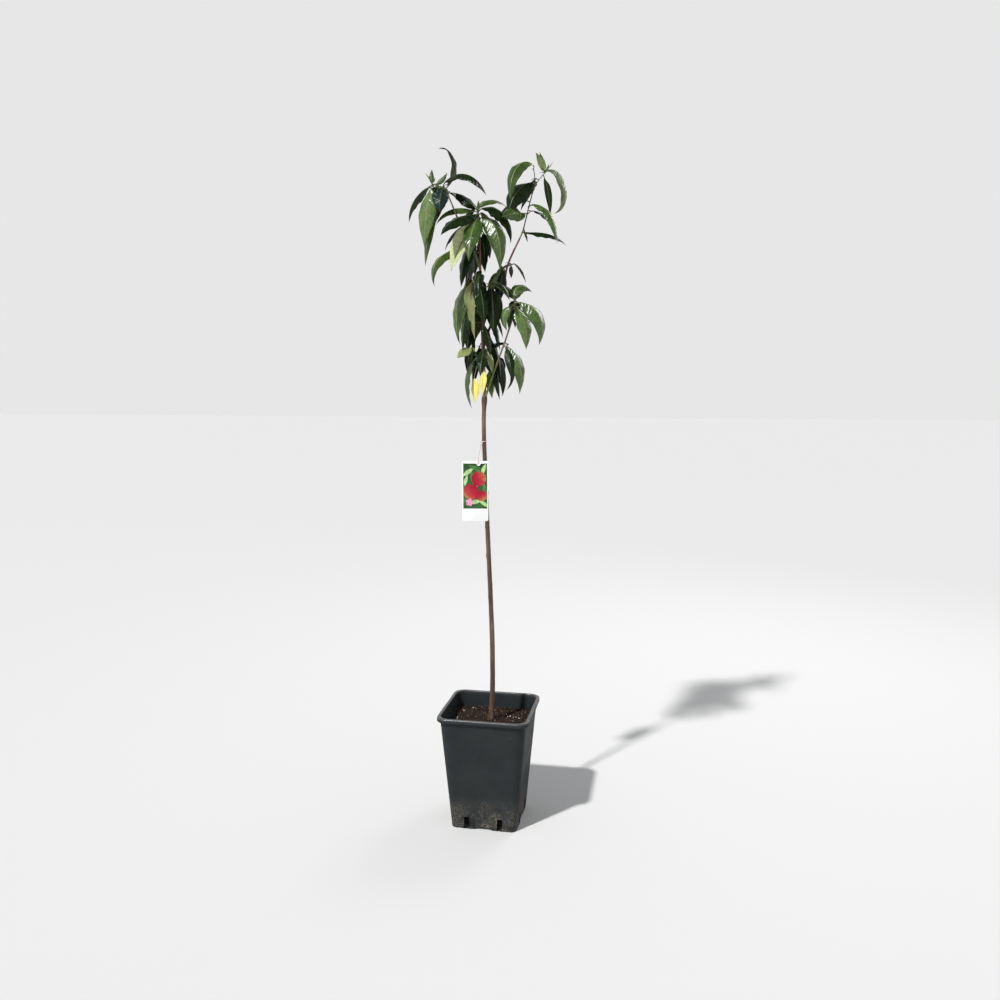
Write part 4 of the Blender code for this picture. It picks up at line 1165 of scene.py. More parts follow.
# Every mass's stem, twigs and leaves: the outline leaves of all masses, then the rest
def growMasses():
    carried = {"trunk": trunkSolid(), **{name: limbPath(name) for name in limbs}}
    space = Space(carried)
    clearance = leafRule["clearance"]
    grown = {}
    for name, mass in masses.items():
        stem = stemPoints(mass, carried)
        radii = [leafRule["stemRadius"] - leafRule["stemTaper"] * share for share in shares(stem)]
        space.add(name, *(solid(tube(stem, [r + grow for r in radii], leafRule["stemSides"]))
                          for grow in (0.0, clearance)))
        twigs = [twigRoute(pointAt(stem, share), heading, rise, length / 1000.0)
                 for share, heading, rise, length in mass.get("twigs", ())]
        for twig in twigs:
            space.add(name, twigTube(twig), twigTube(twig, clearance))
        grown[name] = dict(stem=stem, twigs=twigs, leaves=[], fineTwigs=[], fineLeaves=[])
    for name, mass in masses.items():
        rng = random.Random(mass["seed"])
        for values in mass["leaves"]:
            spec = leaf(*values)
            root = (grown[name]["twigs"][spec["on"] - 1][-1] if spec["on"]
                    else pointAt(grown[name]["stem"], spec["at"]))
            placed = placeLeaf(space, name, spec, root, rng, leafRule["setSwing"])
            if placed:
                grown[name]["leaves"].append((placed, root))
    for name, mass in masses.items():
        rng = random.Random(mass["seed"] + 100)
        for heading, twig in seededTwigs(mass, grown[name]["stem"], rng):
            rise, fall, bend, length, roll = (
                rng.uniform(*leafRule[draw])
                for draw in ("moreRise", "moreFall", "moreBend", "moreLength", "moreRoll"))
            # Unless a mass says otherwise these leaves take the deep tint, which is painted shade
            spec = leaf(1.0, heading, rise, fall, bend, length, mass.get("tone", "deep"), roll)
            placed = placeLeaf(space, name, spec, twig[-1], rng, leafRule["moreSwing"])
            if placed:
                grown[name]["twigs"].append(twig)
                grown[name]["leaves"].append((placed, twig[-1]))
    return grown, space


# Finer twigs from the leader, which fill the dense middle: the mass they count with, height,
# heading, rise and millimetres, then heading, rise, fall, bend, millimetres, width and tint of
# each leaf
# Most of these leaves take the deep tint, which is painted shade
fineTwigs = (
    ("foliage_centre_top", 1.392, 60, 20, 8, (66, -60, -92, 0.7, 90, 0.32, "deep")),
    ("foliage_low_back", 1.13, 16, 15, 16, (4, -62, -92, 0.7, 112, 0.36, "deep")),
    ("foliage_centre_top", 1.4225, 200, 40, 8, (206, -14, -82, 1.1, 104, 0.3, "deep")),
    ("foliage_centre_top", 1.412, -48, 30, 9, (-44, -40, -92, 0.7, 72, 0.26, "deep")),
    ("foliage_left_spur", 1.372, 215, 25, 16, (214, -50, -92, 0.8, 118, 0.28, "deep")),
    ("foliage_left_spur", 1.385, 120, 30, 14, (140, -44, -90, 0.8, 104, 0.28, "deep")),
    ("foliage_inner_left", 1.262, 202, 5, 20, (200, -58, -96, 0.8, 124, 0.28, "deep"),
     (250, -64, -92, 0.8, 112, 0.28, "deep")),
    ("foliage_inner_left", 1.228, 226, 5, 15, (226, -60, -92, 0.8, 112, 0.28, "mid"),
     (180, -66, -90, 0.8, 104, 0.28, "deep")),
    ("foliage_inner_left", 1.206, 168, 5, 18, (170, -56, -90, 0.8, 96, 0.28, "deep")),
    ("foliage_inner_right", 1.228, -22, 20, 18, (-20, -56, -94, 0.8, 96, 0.28, "deep")),
    ("foliage_inner_right", 1.216, 30, 20, 18, (34, -50, -92, 0.8, 104, 0.28, "deep")),
    ("foliage_low_front", 1.19, -84, 10, 12, (-80, -66, -90, 0.8, 84, 0.26, "deep")),
    ("foliage_low_back", 1.168, 40, 15, 14, (10, -50, -92, 0.8, 118, 0.3, "deep")),
    ("foliage_low_back", 1.16, 110, 15, 14, (130, -50, -92, 0.8, 110, 0.28, "deep")),
)

# Half-grown leaves at the end of a cluster's own stem: heading, rise, fall, millimetres, tint,
# width and turn
tipLeaves = {
    "foliage_right_top": ((178, 84, 64, 47, "deep", 0.34, -60),),
    "foliage_right_mid": ((190, 74, 30, 46, "deep", 0.42, -60), (24, 86, 4, 42, "mid", 0.42, 50)),
}

# Small young leaves at the ends of the shoots and beside the buds
youngLook = {
    "atTips": 4,
    "beside": 0.4,               # share of the leaves with a small one beside them
    "tipLength": (0.014, 0.030),
    "besideLength": (0.012, 0.026),
    "tipRise": (35, 80),
    "besideRise": (-10, 50),
    "width": 0.26,
    "stations": 18,
}

# How the blades turn and fill out
bladeLook = {
    "toLight": 24.0,             # degrees that a blade turns to face the light
    "lightHeading": -100.0,
    "broad": 1.10,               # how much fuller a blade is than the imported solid's
    "fold": -24.0,               # degrees that its halves rise from the midrib, or hang from it
}


# The finer twigs, each with what leaves find room: only their blades keep clear of the others
def growFineTwigs(grown, space):
    rng = random.Random(41)
    points, radii = limbPath("leader")
    for name, height, heading, rise, length, *leaves in fineTwigs:
        i = nearest(points, height)
        start = points[i] + aim(heading, 0.0) * 0.6 * radii[i]
        twig = twigRoute(start, heading, rise, length / 1000.0)
        grown[name]["fineTwigs"].append(twig)
        for *route, width, tint in leaves:
            placed = placeFineLeaf(space, leaf(1.0, *route, tint, width=width), twig[-1], rng)
            if placed:
                grown[name]["fineLeaves"].append((placed, twig[-1]))


def placeFineLeaf(space, spec, root, rng):
    for attempt in range(3 * leafRule["tries"]):
        moved = dict(spec)
        swing = leafRule["moreSwing"] * min(attempt, leafRule["tries"])
        for angle, part in (("heading", 1.0), ("rise", 0.5)):
            moved[angle] += part * swing * rng.uniform(-1, 1)
        blade = solid(coarseLeaf(moved, root, first=leafRule["bladeFrom"]))
        if space.isClear(blade):
            space.add("fine", blade, blade)
            return moved
    return None


# A leaf as the picture has it: turned to the light, then with the trims of its number
def trimmed(name, number, spec):
    facing = math.radians(spec["heading"] - bladeLook["lightHeading"])
    changed = dict(spec, turn=bladeLook["toLight"] * math.sin(facing), twist=0.0,
                   broad=bladeLook["broad"], fold=bladeLook["fold"],
                   start=leafRule["petioleSteps"] / leafRule["steps"])
    changed.update(masses[name].get("trims", {}).get(number, {}))
    return changed


# Small leaves at the stem's tip and in the axils, which need no room of their own
def youngLeaves(name, mass):
    rng = random.Random(masses[name]["seed"] + 900)
    tip, width = mass["stem"][-1], youngLook["width"]
    made = []
    if "tipOf" in masses[name]:
        for k in range(youngLook["atTips"]):
            made.append((leaf(1.0, 90 * k + rng.uniform(-25, 25),
                              rng.uniform(*youngLook["tipRise"]), rng.uniform(10, 50), 1.0,
                              1000 * rng.uniform(*youngLook["tipLength"]), "fresh", width=width),
                         tip, {}))
    for *route, length, tint, broad, turn in tipLeaves.get(name, ()):
        made.append((leaf(1.0, *route, 1.0, length, tint, width=broad), tip, {"turn": turn}))
    for spec, root in mass["leaves"]:
        if rng.random() < youngLook["beside"]:
            made.append((leaf(1.0, spec["heading"] + rng.choice((-70, 70)),
                              rng.uniform(*youngLook["besideRise"]), rng.uniform(-60, 0), 1.0,
                              1000 * rng.uniform(*youngLook["besideLength"]),
                              rng.choice(("mid", "fresh")), width=width), root, {}))
    return [({**trimmed(name, None, spec), "stations": youngLook["stations"], "broad": 1.0,
              **more}, root) for spec, root, more in made]


# How a leaf looks close up

leafLook = {
    "stations": 56,
    "columns": (0.0, 0.07, 0.38, 0.72, 1.0),      # from the midrib to the edge
    "arch": 0.12,                # how far each half curves down towards its edge
    "ripple": 0.055,             # waves along the edge, of the half width
    "waves": 4.5,
    "tooth": 0.00016,
    "blade": 0.00034,            # thickness
    "thinEdge": 0.45,            # how much thinner it is at its edge
    "rib": 0.0008,               # how far the midrib stands out below
    "groove": 0.0003,            # how deep it lies on top
    "petiole": 0.0009,
    "runIn": 1.6,                # steps over which the stalk turns into the blade
    "tip": 0.0002,
    "veins": 13.0,
    "veinSlant": 3.2,
    "veinWidth": 0.07,
    "veinShow": 0.35,
    "rough": 0.27,
    "gloss": 0.48,
    "dullGloss": 0.14,           # of the darkest leaves
    "quilt": 0.0011,             # how far the blade swells between its veins
    # the darker and lighter tone of the top, then of the underside
    "tints": {
        # the deep tint is painted shade: near-black green, top and underside, for leaves that stand
        # in shade
        "deep": ((0.003, 0.008, 0.002), (0.012, 0.026, 0.005),
                 (0.009, 0.015, 0.005), (0.023, 0.033, 0.011)),
        "mid": ((0.018, 0.042, 0.006), (0.058, 0.105, 0.016),
                (0.040, 0.060, 0.018), (0.090, 0.118, 0.040)),
        # the light green of young leaves, which grown leaves also take as a painted lit copy of the
        # mid tint
        "fresh": ((0.052, 0.100, 0.024), (0.125, 0.190, 0.054),
                  (0.110, 0.150, 0.056), (0.200, 0.245, 0.100)),
        # a bluish green for a leaf in painted shade, with a painted sky reflection
        "blue": ((0.008, 0.020, 0.017), (0.018, 0.038, 0.031),
                 (0.030, 0.046, 0.030), (0.060, 0.084, 0.054)),
        "olive": ((0.030, 0.056, 0.014), (0.060, 0.100, 0.026),
                  (0.130, 0.150, 0.055), (0.215, 0.235, 0.100)),
        "pale": ((0.160, 0.200, 0.060), (0.290, 0.330, 0.120),
                 (0.360, 0.410, 0.190), (0.540, 0.580, 0.330)),
        "yellow": ((0.66, 0.54, 0.070), (0.86, 0.78, 0.210),
                   (0.64, 0.56, 0.12), (0.80, 0.74, 0.26)),
    },
    "ribs": {
        "rib": ((0.085, 0.110, 0.036), (0.165, 0.195, 0.075)),
        # painted shade: the darker rib of the leaves in painted shade
        "darkRib": ((0.024, 0.042, 0.012), (0.060, 0.085, 0.028)),
    },
    # the tints that are painted shade, which take the darker rib and the duller gloss
    "darkRibs": ("deep", "blue"),
}


# A waxy blade: patches of tone, paler side veins that slant to the edge, fine relief
def leafFinish(name, dark, light, rough, gloss):
    made, shader, tree = newMaterial(name, rough, gloss)
    tone = rampOf(tree, noiseOf(tree, 55.0, detail=5.0), (0.32, dark), (0.70, light))
    place = splitOf(tree, coordinates(tree, "UV"))
    side = mathOf(tree, "ABSOLUTE", mathOf(tree, "SUBTRACT", place["X"], 0.5))
    phase = mathOf(tree, "SUBTRACT", mathOf(tree, "MULTIPLY", place["Y"], leafLook["veins"]),
                   mathOf(tree, "MULTIPLY", side, leafLook["veinSlant"]))
    wave = mathOf(tree, "PINGPONG", phase, 0.5)
    vein = mathOf(tree, "MULTIPLY", rangeOf(tree, wave, leafLook["veinWidth"], 0.0),
                  leafLook["veinShow"])
    pale = tuple(min(1.0, 1.9 * c + 0.012) for c in light)
    feed(shader, {"Base Color": mixOf(tree, vein, tone, pale)})
    swell = mathOf(tree, "MULTIPLY", rangeOf(tree, wave, 0.0, 0.5), 0.5)
    addBump(shader, mathOf(tree, "ADD", swell, noiseOf(tree, 170.0, detail=3.0)),
            leafLook["quilt"])
    return made


def leafFinishes():
    made = {}
    for name, tones in leafLook["tints"].items():
        gloss = leafLook["dullGloss" if name in leafLook["darkRibs"] else "gloss"]
        made[name] = leafFinish(name + "Leaf", *tones[:2], leafLook["rough"], gloss)
        made[name + "Back"] = leafFinish(name + "LeafBack", *tones[2:], 0.6, 0.2)
    for name, (dark, light) in leafLook["ribs"].items():
        made[name] = mottled("leaf" + name.capitalize(), 90.0, 0.42, 0.5, (0.3, dark),
                             (0.7, light))
    return made


# The rule's midrib, with the blade rolled on from it by the leaf's turn and twist
def bladeRows(spec, root):
    rows = []
    for step, (point, along, across, up) in enumerate(midrib(spec, root)):
        share = step / leafRule["steps"]
        roll = (spec["turn"] + spec["twist"] * (share - 0.5)) * min(1.0, 4.0 * share)
        turn = Matrix.Rotation(math.radians(roll), 3, along)
        rows.append((point, turn @ across, turn @ up))
    return rows


# The midrib's place and directions at any step, between the rule's own rows
def rowAt(rows, step):
    i = min(int(step), len(rows) - 2)
    near = (rows[min(max(n, 0), len(rows) - 1)][0] for n in range(i - 1, i + 3))
    sides = (rows[i][k].lerp(rows[i + 1][k], step - i).normalized() for k in (1, 2))
    return spline(*near, step - i), *sides


def fineHalfWidth(spec, share):
    if share <= spec["start"]:
        return leafLook["petiole"]
    s = (share - spec["start"]) / (1.0 - spec["start"])
    return max(leafLook["petiole"] * (1 - s),
               0.5 * spec["broad"] * spec["width"] * spec["length"] * bladeShape(s))


# A thin closed blade: its vertices, its faces, the finish of each face and the place of each
# vertex on the map. The finishes are 0 for the top, 1 for the underside, 2 for the petiole and
# the midrib below, and 3 for the midrib on top.
def fineLeaf(spec, root, rng):
    look = leafLook
    rows = bladeRows(spec, root)
    count = spec.get("stations", look["stations"])
    offsets = [-c for c in reversed(look["columns"][1:])] + list(look["columns"])
    phases = (rng.uniform(0, 6.28), rng.uniform(0, 6.28))
    waves = look["waves"] * rng.uniform(0.75, 1.25)
    ripple = look["ripple"] * rng.uniform(0.5, 1.4)
    foldBy = rng.uniform(0.75, 1.15)
    steps = leafRule["steps"]
    petiole = spec["start"] * steps
    top, bottom, places = [], [], []
    for n in range(count + 1):
        share = n / count
        step = steps * share
        point, across, up = rowAt(rows, min(step, steps - 0.001))
        half = fineHalfWidth(spec, share) if n < count else look["tip"]
        blade = min(1.0, max(0.0, (step - petiole) / look["runIn"]))     # 0 on the stalk
        if n < count - 1:
            half += look["tooth"] * (1 if n % 2 else -1) * blade
        fold = blade * math.radians(spec["fold"] * foldBy * (1.2 - 0.4 * math.sin(math.pi * share)))
        body = look["blade"] + (2 * look["petiole"] - look["blade"]) * (1 - blade)
        rib = look["rib"] * (1 - share) ** 0.8 * blade
        for offset in offsets:
            away = abs(offset)
            phase = phases[0] if offset > 0 else phases[1]
            wave = ripple * away ** 2 * math.sin(2 * math.pi * waves * share + phase) * blade
            curve = (look["arch"] * blade + 1 - blade) * away ** 2       # the stalk is round
            spot = (point + across * half * offset * math.cos(0.7 * fold)
                    + up * half * (away * math.sin(fold) - curve + wave))
            thick = 0.5 * body * (1.0 - look["thinEdge"] * away ** 2)
            ridge = rib if away < 0.05 else 0.35 * rib if away < 0.1 else 0.0
            groove = look["groove"] * blade * (1 - share) if away < 0.05 else 0.0
            top.append(spot + up * (thick - groove))
            bottom.append(spot - up * (thick + ridge))
            places.append((0.5 + 0.5 * offset, share))
    wide, below = len(offsets), len(top)
    ribEdge = look["columns"][1] + 0.001
    faces, marks = [], []
    for n in range(count):
        stalk = steps * (n + 0.5) / count < petiole
        for k in range(wide - 1):
            a = n * wide + k
            middle = max(abs(offsets[k]), abs(offsets[k + 1])) < ribEdge
            faces += [(a, a + 1, a + wide + 1, a + wide),
                      (below + a, below + a + wide, below + a + wide + 1, below + a + 1)]
            marks += [2 if stalk else 3 if middle else 0, 2 if stalk or middle else 1]
        for k in (0, wide - 1):
            a = n * wide + k
            quad = (a, a + wide, below + a + wide, below + a)
            faces.append(quad if k == 0 else quad[::-1])
            marks.append(2 if stalk else 1)
    for n in (0, count):
        for k in range(wide - 1):
            a = n * wide + k
            quad = (a, below + a, below + a + 1, a + 1)
            faces.append(quad if n == 0 else quad[::-1])
            marks.append(2)
    return top + bottom, faces, marks, places + places


def buildLeaves(grown, finishes):
    for name, mass in grown.items():
        rng = random.Random(masses[name]["seed"] + 500)
        shown = [(trimmed(name, n, spec), root) for n, (spec, root) in enumerate(mass["leaves"])]
        shown += [(trimmed(name, None, spec), root) for spec, root in mass["fineLeaves"]]
        shown += youngLeaves(name, mass)
        tints = sorted({spec["tint"] for spec, _ in shown})
        slots = ["rib", "darkRib", *tints, *(tint + "Back" for tint in tints)]
        shapes = []
        for spec, root in shown:
            vertices, faces, marks, places = fineLeaf(spec, root, rng)
            tint = spec["tint"]
            # Leaves of a painted-shade tint take the painted-shade rib on top
            sides = (slots.index(tint), slots.index(tint + "Back"), 0,
                     int(tint in leafLook["darkRibs"]))
            shapes.append((turned(vertices), faces, [sides[mark] for mark in marks], places))
        addPiece(name.replace("foliage", "leaves"), shapes, [finishes[s] for s in slots],
                 name)


# Twigs and buds

twigLook = {
    "sides": 10,
    "sink": 0.0022,              # how far a stem is sunk into its limb
    "stemStep": 0.0022,
    "twigStep": 0.0020,
    "tipRadius": 0.0010,
    "twigTaper": 0.0004,
    "nodeHeight": 0.0005,
    "nodeShape": (1.4, 0.8),     # rings long and radians wide
    "stemGrain": 0.00008,
    "twigGrain": 0.00006,
    "budLength": 0.0034,
    "budWidth": 0.0018,
    "budDark": (0.10, 0.045, 0.025),
    "budPale": (0.22, 0.12, 0.06),
}


def buildTwigs(grown, finish):
    shapes, buds = [], []
    thick, sides = leafRule["stemRadius"], twigLook["sides"]
    for mass in grown.values():
        stem = mass["stem"]
        back = (stem[0] - stem[1]).normalized()
        route = evenRoute(smoothRoute([stem[0] + back * twigLook["sink"], *stem], 4),
                          twigLook["stemStep"])
        radii = [thick - (thick - twigLook["tipRadius"]) * s for s in shares(route)]
        bumps = [(ring, n * nodeTurn, twigLook["nodeHeight"], *twigLook["nodeShape"])
                 for n, ring in enumerate(range(3, len(route) - 1, 4))]
        shapes.append(tube(route, radii, sides, twigLook["stemGrain"], bumps))
        buds.append((stem[-1], (stem[-1] - stem[-2]).normalized()))
        for twig in mass["twigs"] + mass["fineTwigs"]:
            route = evenRoute(twig, twigLook["twigStep"])
            radii = [leafRule["twigRadius"] - twigLook["twigTaper"] * s for s in shares(route)]
            shapes.append(tube(route, radii, sides, twigLook["twigGrain"]))
        for spec, root in mass["leaves"] + mass["fineLeaves"]:
            ahead = (aim(spec["heading"], spec["rise"]) + Vector((0.0, 0.0, 0.8))).normalized()
            buds.append((root + ahead * 0.001, ahead))
    addPiece("twigs", [(turned(vertices), faces) for vertices, faces in shapes], [finish])
    return buds


# A pointed bud on each point, aimed along the point's own direction
def buildBuds(buds):
    finish = mottled("budScale", 700.0, 0.5, 0.5, (0.3, twigLook["budDark"]),
                     (0.7, twigLook["budPale"]))
    tree, sockets, given = newTree("buds", Length="Float", Width="Float")
    points = addNode(tree, "GeometryNodeMeshToPoints", {"Mesh": given["Geometry"]}).outputs[0]
    ahead = addNode(tree, "GeometryNodeInputNamedAttribute", {"Name": "ahead"},
                    data_type="FLOAT_VECTOR").outputs["Attribute"]
    ball = addNode(tree, "GeometryNodeMeshUVSphere",
                   {"Segments": 8, "Rings": 7, "Radius": 0.5}).outputs[0]
    size = addNode(tree, "ShaderNodeCombineXYZ", {
        "X": given["Width"], "Y": given["Width"], "Z": given["Length"]}).outputs[0]
    endTree(tree, onPoints(tree, points, ball, pointTo(tree, "Z", {"Vector": ahead}), size),
            finish)
    made = addMesh("buds", turned([place for place, _ in buds]))
    directions = made.data.attributes.new("ahead", "FLOAT_VECTOR", "POINT")
    for item, direction in zip(directions.data, turned([d for _, d in buds])):
        item.vector = direction
    runTree(made, tree, sockets, Length=twigLook["budLength"], Width=twigLook["budWidth"])
    settle(made)


# The picture label and its tie

label = {
    "size": (0.062, 0.143),
    "thickness": 0.0011,
    "corner": 0.004,
    "edge": 0.00022,             # how far its edges are softened
    "top": 0.880,
    "middleX": -0.0335,
    "hole": (0.008, 0.0065, 0.0030),    # across, below the top edge, radius
    "card": (0.83, 0.84, 0.83),
    "tieRadius": 0.0009,
    "tieHeight": 0.927,
    "tieTwists": 46.0,
    "tieRings": 520,
    "tieSides": 12,
    "tiePinch": 0.52,            # the section's thickness, as a share of its width
    "tieDark": (0.62, 0.38, 0.40),
    "tiePale": (0.82, 0.66, 0.66),
    "margin": 0.0028,
    "pictureShare": 0.79,        # how much of the card's height the picture takes
    "ink": 0.00006,              # thickness of a printed shape
    # middle (share across, share up), radius in metres, and which way its blush faces
    "fruits": (((0.65, 0.66), 0.0182, 200), ((0.33, 0.37), 0.0192, 40),
               ((0.77, 0.28), 0.0130, 120)),
    # middle, length, width, heading, which green
    "prints": (
        ((0.20, 0.80), 0.034, 0.0100, 35, 1), ((0.52, 0.88), 0.036, 0.0095, -28, 0),
        ((0.86, 0.86), 0.030, 0.0090, 70, 1), ((0.40, 0.66), 0.034, 0.0090, 100, 0),
        ((0.12, 0.62), 0.028, 0.0080, 75, 1), ((0.90, 0.44), 0.030, 0.0085, 95, 0),
        ((0.48, 0.14), 0.036, 0.0100, 12, 1), ((0.14, 0.16), 0.030, 0.0090, 140, 0),
        ((0.86, 0.10), 0.028, 0.0085, -35, 1), ((0.50, 0.46), 0.026, 0.0080, 60, 1),
    ),
    "blossom": ((0.26, 0.14), 0.0095),
    # finish, scale, and the two places and tones of its ramp
    "inks": (
        ("printShade", 90.0, (0.35, (0.012, 0.035, 0.010)), (0.65, (0.045, 0.130, 0.035))),
        ("printLeafDark", 120.0, (0.3, (0.035, 0.120, 0.030)), (0.7, (0.090, 0.240, 0.060))),
        ("printLeafPale", 120.0, (0.3, (0.22, 0.42, 0.13)), (0.7, (0.50, 0.68, 0.34))),
        ("printBlossom", 300.0, (0.3, (0.60, 0.10, 0.28)), (0.7, (0.86, 0.42, 0.58))),
    ),
    "blush": ((0.04, (0.90, 0.50, 0.20)), (0.26, (0.88, 0.17, 0.09)),
              (0.55, (0.82, 0.022, 0.080)), (0.95, (0.52, 0.008, 0.050))),
    "fruitEdge": (0.16, 0.006, 0.012),
}


def labelPlace():
    bottom = label["top"] - label["size"][1]
    near = [point.y - radius for point, radius in zip(*trunkSolid())
            if bottom - 0.05 < point.z < label["top"] + 0.05]
    front = min(near) - gap - 0.5 * label["thickness"]
    return Matrix.Translation((label["middleX"], front, 0.5 * (label["top"] + bottom)))


# A flat solid on the label, its middle out in front of the card's own by so much
def onLabel(outline, depth, out=0.0):
    vertices, faces = prism(outline, labelPlace() @ Matrix.Translation((0.0, -out, 0.0)), depth)
    return turned(vertices), faces


def buildCard():
    width, height = label["size"]
    corner = label["corner"]
    outline = [(sx * (0.5 * width - corner) + corner * c, sz * (0.5 * height - corner) + corner * s)
               for n, (sx, sz) in enumerate(((1, 1), (-1, 1), (-1, -1), (1, -1)))
               for c, s in arc(8, 90 * n, 90 * n + 90)]
    finish = mottled("cardPlastic", 60.0, 0.34, 0.5,
                     (0.3, tuple(0.96 * c for c in label["card"])), (0.7, label["card"]),
                     relief=(300.0, 0.0001))
    made = addMesh("labelCard", finishes=[finish])
    addShapes(made, [onLabel(outline, label["thickness"])])
    across, below, radius = label["hole"]
    ring = [(across + radius * c, 0.5 * height - below + radius * s) for c, s in arc(28)[:-1]]
    cutFrom(made, [onLabel(ring, 0.006)])
    soften = made.modifiers.new("edge", "BEVEL")
    soften.width = label["edge"]
    soften.segments = 2
    soften.limit_method = "ANGLE"
    applyModifiers(made)
    settle(made, "picture_label", 30.0)


# A ripe blush: yellow-orange on one side, red on the other, from the print's own map
def fruitFinish():
    made, shader, tree = newMaterial("printFruit", 0.4, 0.2)
    place = splitOf(tree, coordinates(tree, "UV"))
    wobble = rangeOf(tree, noiseOf(tree, 160.0), 0.3, 0.7, -0.14, 0.14)
    tone = rampOf(tree, mathOf(tree, "ADD", place["X"], wobble), *label["blush"])
    shade = mathOf(tree, "MULTIPLY", rangeOf(tree, place["Y"], 0.72, 1.0), 0.75)
    feed(shader, {"Base Color": mixOf(tree, shade, tone, label["fruitEdge"])})
    return made


def leafOutline(middle, length, width, heading):
    turn = math.radians(heading)
    points = []
    for side, s in [(1, k / 8) for k in range(9)] + [(-1, 1 - k / 8) for k in range(1, 8)]:
        x = (s - 0.5) * length
        y = side * 0.5 * width * math.sin(math.pi * s) ** 0.8 + 0.1 * width * math.sin(3 * s)
        points.append((middle[0] + x * math.cos(turn) - y * math.sin(turn),
                       middle[1] + x * math.sin(turn) + y * math.cos(turn)))
    return points


# The print: a dark ground, leaves, fruits and a blossom, each a little in front of the last
def buildPicture():
    width, height = label["size"]
    high = (0.5 * width - label["margin"], 0.5 * height - 2 * label["margin"])
    low = (-high[0], 0.5 * height - label["pictureShare"] * height)
    across, below, radius = label["hole"]
    shapes = []

    def at(share):
        return [a + s * (b - a) for s, a, b in zip(share, low, high)]

    def show(outline, out, finish, ball=None):
        outline = [tuple(min(max(v, a), b) for v, a, b in zip(p, low, high)) for p in outline]
        vertices, faces = onLabel(outline, label["ink"],
                                  0.5 * (label["thickness"] + label["ink"]) + out)
        places = outline
        if ball:                 # how far to the blush side, and how far from the middle
            (x, z), size, facing = ball
            way = aim(facing, 0.0)
            places = [(0.5 + 0.5 * ((px - x) * way.x + (pz - z) * way.y) / size,
                       math.hypot(px - x, pz - z) / size) for px, pz in outline]
        shapes.append((vertices, faces, [finish] * len(faces), places + places))

    notch = [(across + 1.6 * radius * c, 0.5 * height - below + 1.6 * radius * s)
             for c, s in arc(12, 360, 180)]
    show([low, (high[0], low[1]), high, *notch, (low[0], high[1])], 0.0, 0)
    for n, (share, length, broad, heading, green) in enumerate(label["prints"]):
        show(leafOutline(at(share), length, broad, heading), 0.00004 + 0.000004 * n, 1 + green)
    for n, (share, size, facing) in enumerate(label["fruits"]):
        x, z = at(share)
        ring = [(x + size * c * (1 - 0.05 * (c * c - s * s)), z + 0.96 * size * s)
                for c, s in arc(40)[:-1]]
        show(ring, 0.00010 + 0.00001 * n, 4, ((x, z), size, facing))
    share, size = label["blossom"]
    x, z = at(share)
    for k, (c, s) in enumerate(arc(5)[:-1]):
        petal = leafOutline((x + 0.55 * size * c, z + 0.55 * size * s), size, 0.8 * size, 72 * k)
        show(petal, 0.00014 + 0.000004 * k, 3)
    finishes = [mottled(name, scale, 0.4, 0.2, *stops) for name, scale, *stops in label["inks"]]
    addPiece("labelPicture", shapes, [*finishes, fruitFinish()], angle=1.0)


# A loop from the stem's left side round its back and front, and down through the hole
def tiePoints():
    thick = label["tieRadius"]
    stem, radii = trunkSolid()
    i = next(n for n in range(1, len(stem)) if stem[n].z >= label["tieHeight"])
    t = (label["tieHeight"] - stem[i - 1].z) / (stem[i].z - stem[i - 1].z)
    middle = stem[i - 1].lerp(stem[i], t)
    around = radii[i - 1] + (radii[i] - radii[i - 1]) * t + thick + gap
    points = [middle + Vector((around * c, around * s, 0.0022 * (0.5 - k / 10)))
              for k, (c, s) in enumerate(arc(10, 185, -125))]
    across, below, holeRadius = label["hole"]
    hole = labelPlace() @ Vector((across, 0.0, 0.5 * label["size"][1] - below))
    off = Vector((0.0, 0.5 * label["thickness"] + thick + 0.0005, 0.0))
    bearing = hole + Vector((0.0, 0.0, holeRadius - thick - gap))
    over = Vector((0.0, 0.0, 0.5 * below))
    above = Vector((0.0, 0.0, below + 0.008))
    front, back = hole - off + above, hole + off + above
    left, right = points[0], points[-1]
    strand = (0.12, 0.3, 0.55, 0.8)
    points += [right.lerp(front, t) for t in strand]
    points += [front, hole - off + over, bearing, hole + off + over, back]
    return points + [back.lerp(left, 1 - t) for t in reversed(strand)]


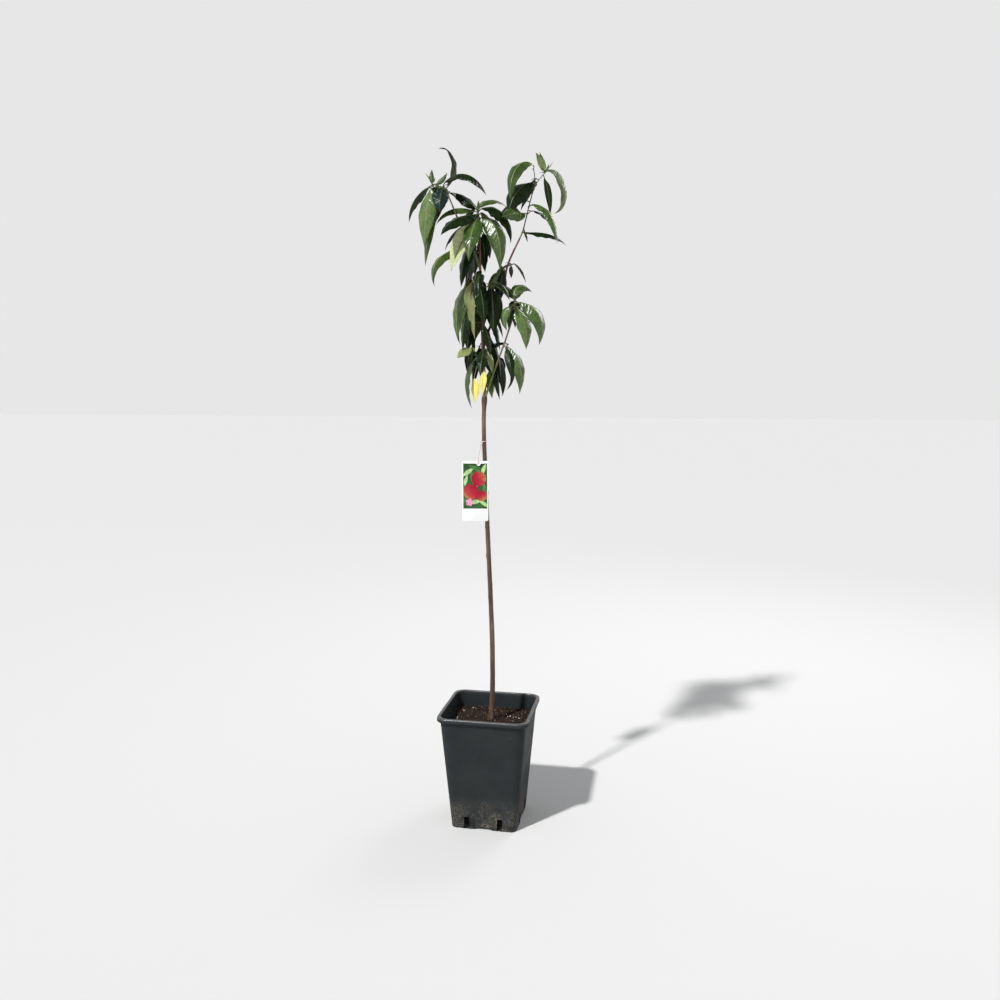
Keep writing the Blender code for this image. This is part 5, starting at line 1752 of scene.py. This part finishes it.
# Two strands laid together: a lobed section that turns as it follows the loop
def threadTree(finish):
    tree, sockets, given = newTree("thread", Radius="Float", Turns="Float")
    curve = addNode(tree, "GeometryNodeMeshToCurve", {"Mesh": given["Geometry"]}).outputs[0]
    even = addNode(tree, "GeometryNodeResampleCurve", {
        "Curve": curve, "Count": label["tieRings"]}).outputs[0]
    share = addNode(tree, "GeometryNodeSplineParameter").outputs["Factor"]
    turns = mathOf(tree, "MULTIPLY", mathOf(tree, "MULTIPLY", share, given["Turns"]), 2 * math.pi)
    tilted = addNode(tree, "GeometryNodeSetCurveTilt", {"Curve": even, "Tilt": turns}).outputs[0]
    circle = addNode(tree, "GeometryNodeCurvePrimitiveCircle", {
        "Resolution": label["tieSides"], "Radius": 1.0}).outputs["Curve"]
    where = addNode(tree, "GeometryNodeInputPosition").outputs[0]
    pinched = vectorMath(tree, "MULTIPLY", where, (1.0, label["tiePinch"], 1.0))
    lobes = addNode(tree, "GeometryNodeSetPosition", {"Geometry": circle, "Position": pinched})
    section = addNode(tree, "GeometryNodeTransform", {
        "Geometry": lobes.outputs[0], "Scale": given["Radius"]}).outputs[0]
    body = addNode(tree, "GeometryNodeCurveToMesh", {"Curve": tilted, "Profile Curve": section})
    endTree(tree, body.outputs[0], finish)
    return tree, sockets


def buildTie():
    loop = tiePoints()
    count = len(loop)
    route = [spline(*(loop[(i + n) % count] for n in (-1, 0, 1, 2)), k / 8)
             for i in range(count) for k in range(8)]
    ends = len(route)
    made = addMesh("labelTie", turned(route), edges=[(i, (i + 1) % ends) for i in range(ends)])
    finish = mottled("tieThread", 400.0, 0.55, 0.5, (0.3, label["tieDark"]),
                     (0.7, label["tiePale"]))
    runTree(made, *threadTree(finish), Radius=label["tieRadius"], Turns=label["tieTwists"])
    addShapes(made)
    settle(made, "label_tie")


buildStudio()
print("studio ready")
buildPot()
print("pot ready")
buildCrumbs(buildSoil())
print("potting mix ready")
stem = buildTrunk()
shootFinishes = buildLimbs()
buildLenticels(stem)
print("stem and boughs ready")
grown, space = growMasses()
growFineTwigs(grown, space)
buildLeaves(grown, leafFinishes())
buildBuds(buildTwigs(grown, shootFinishes["young"]))
print("leaves ready:", sum(len(mass["leaves"]) for mass in grown.values()))
buildCard()
buildPicture()
buildTie()
print("label ready")
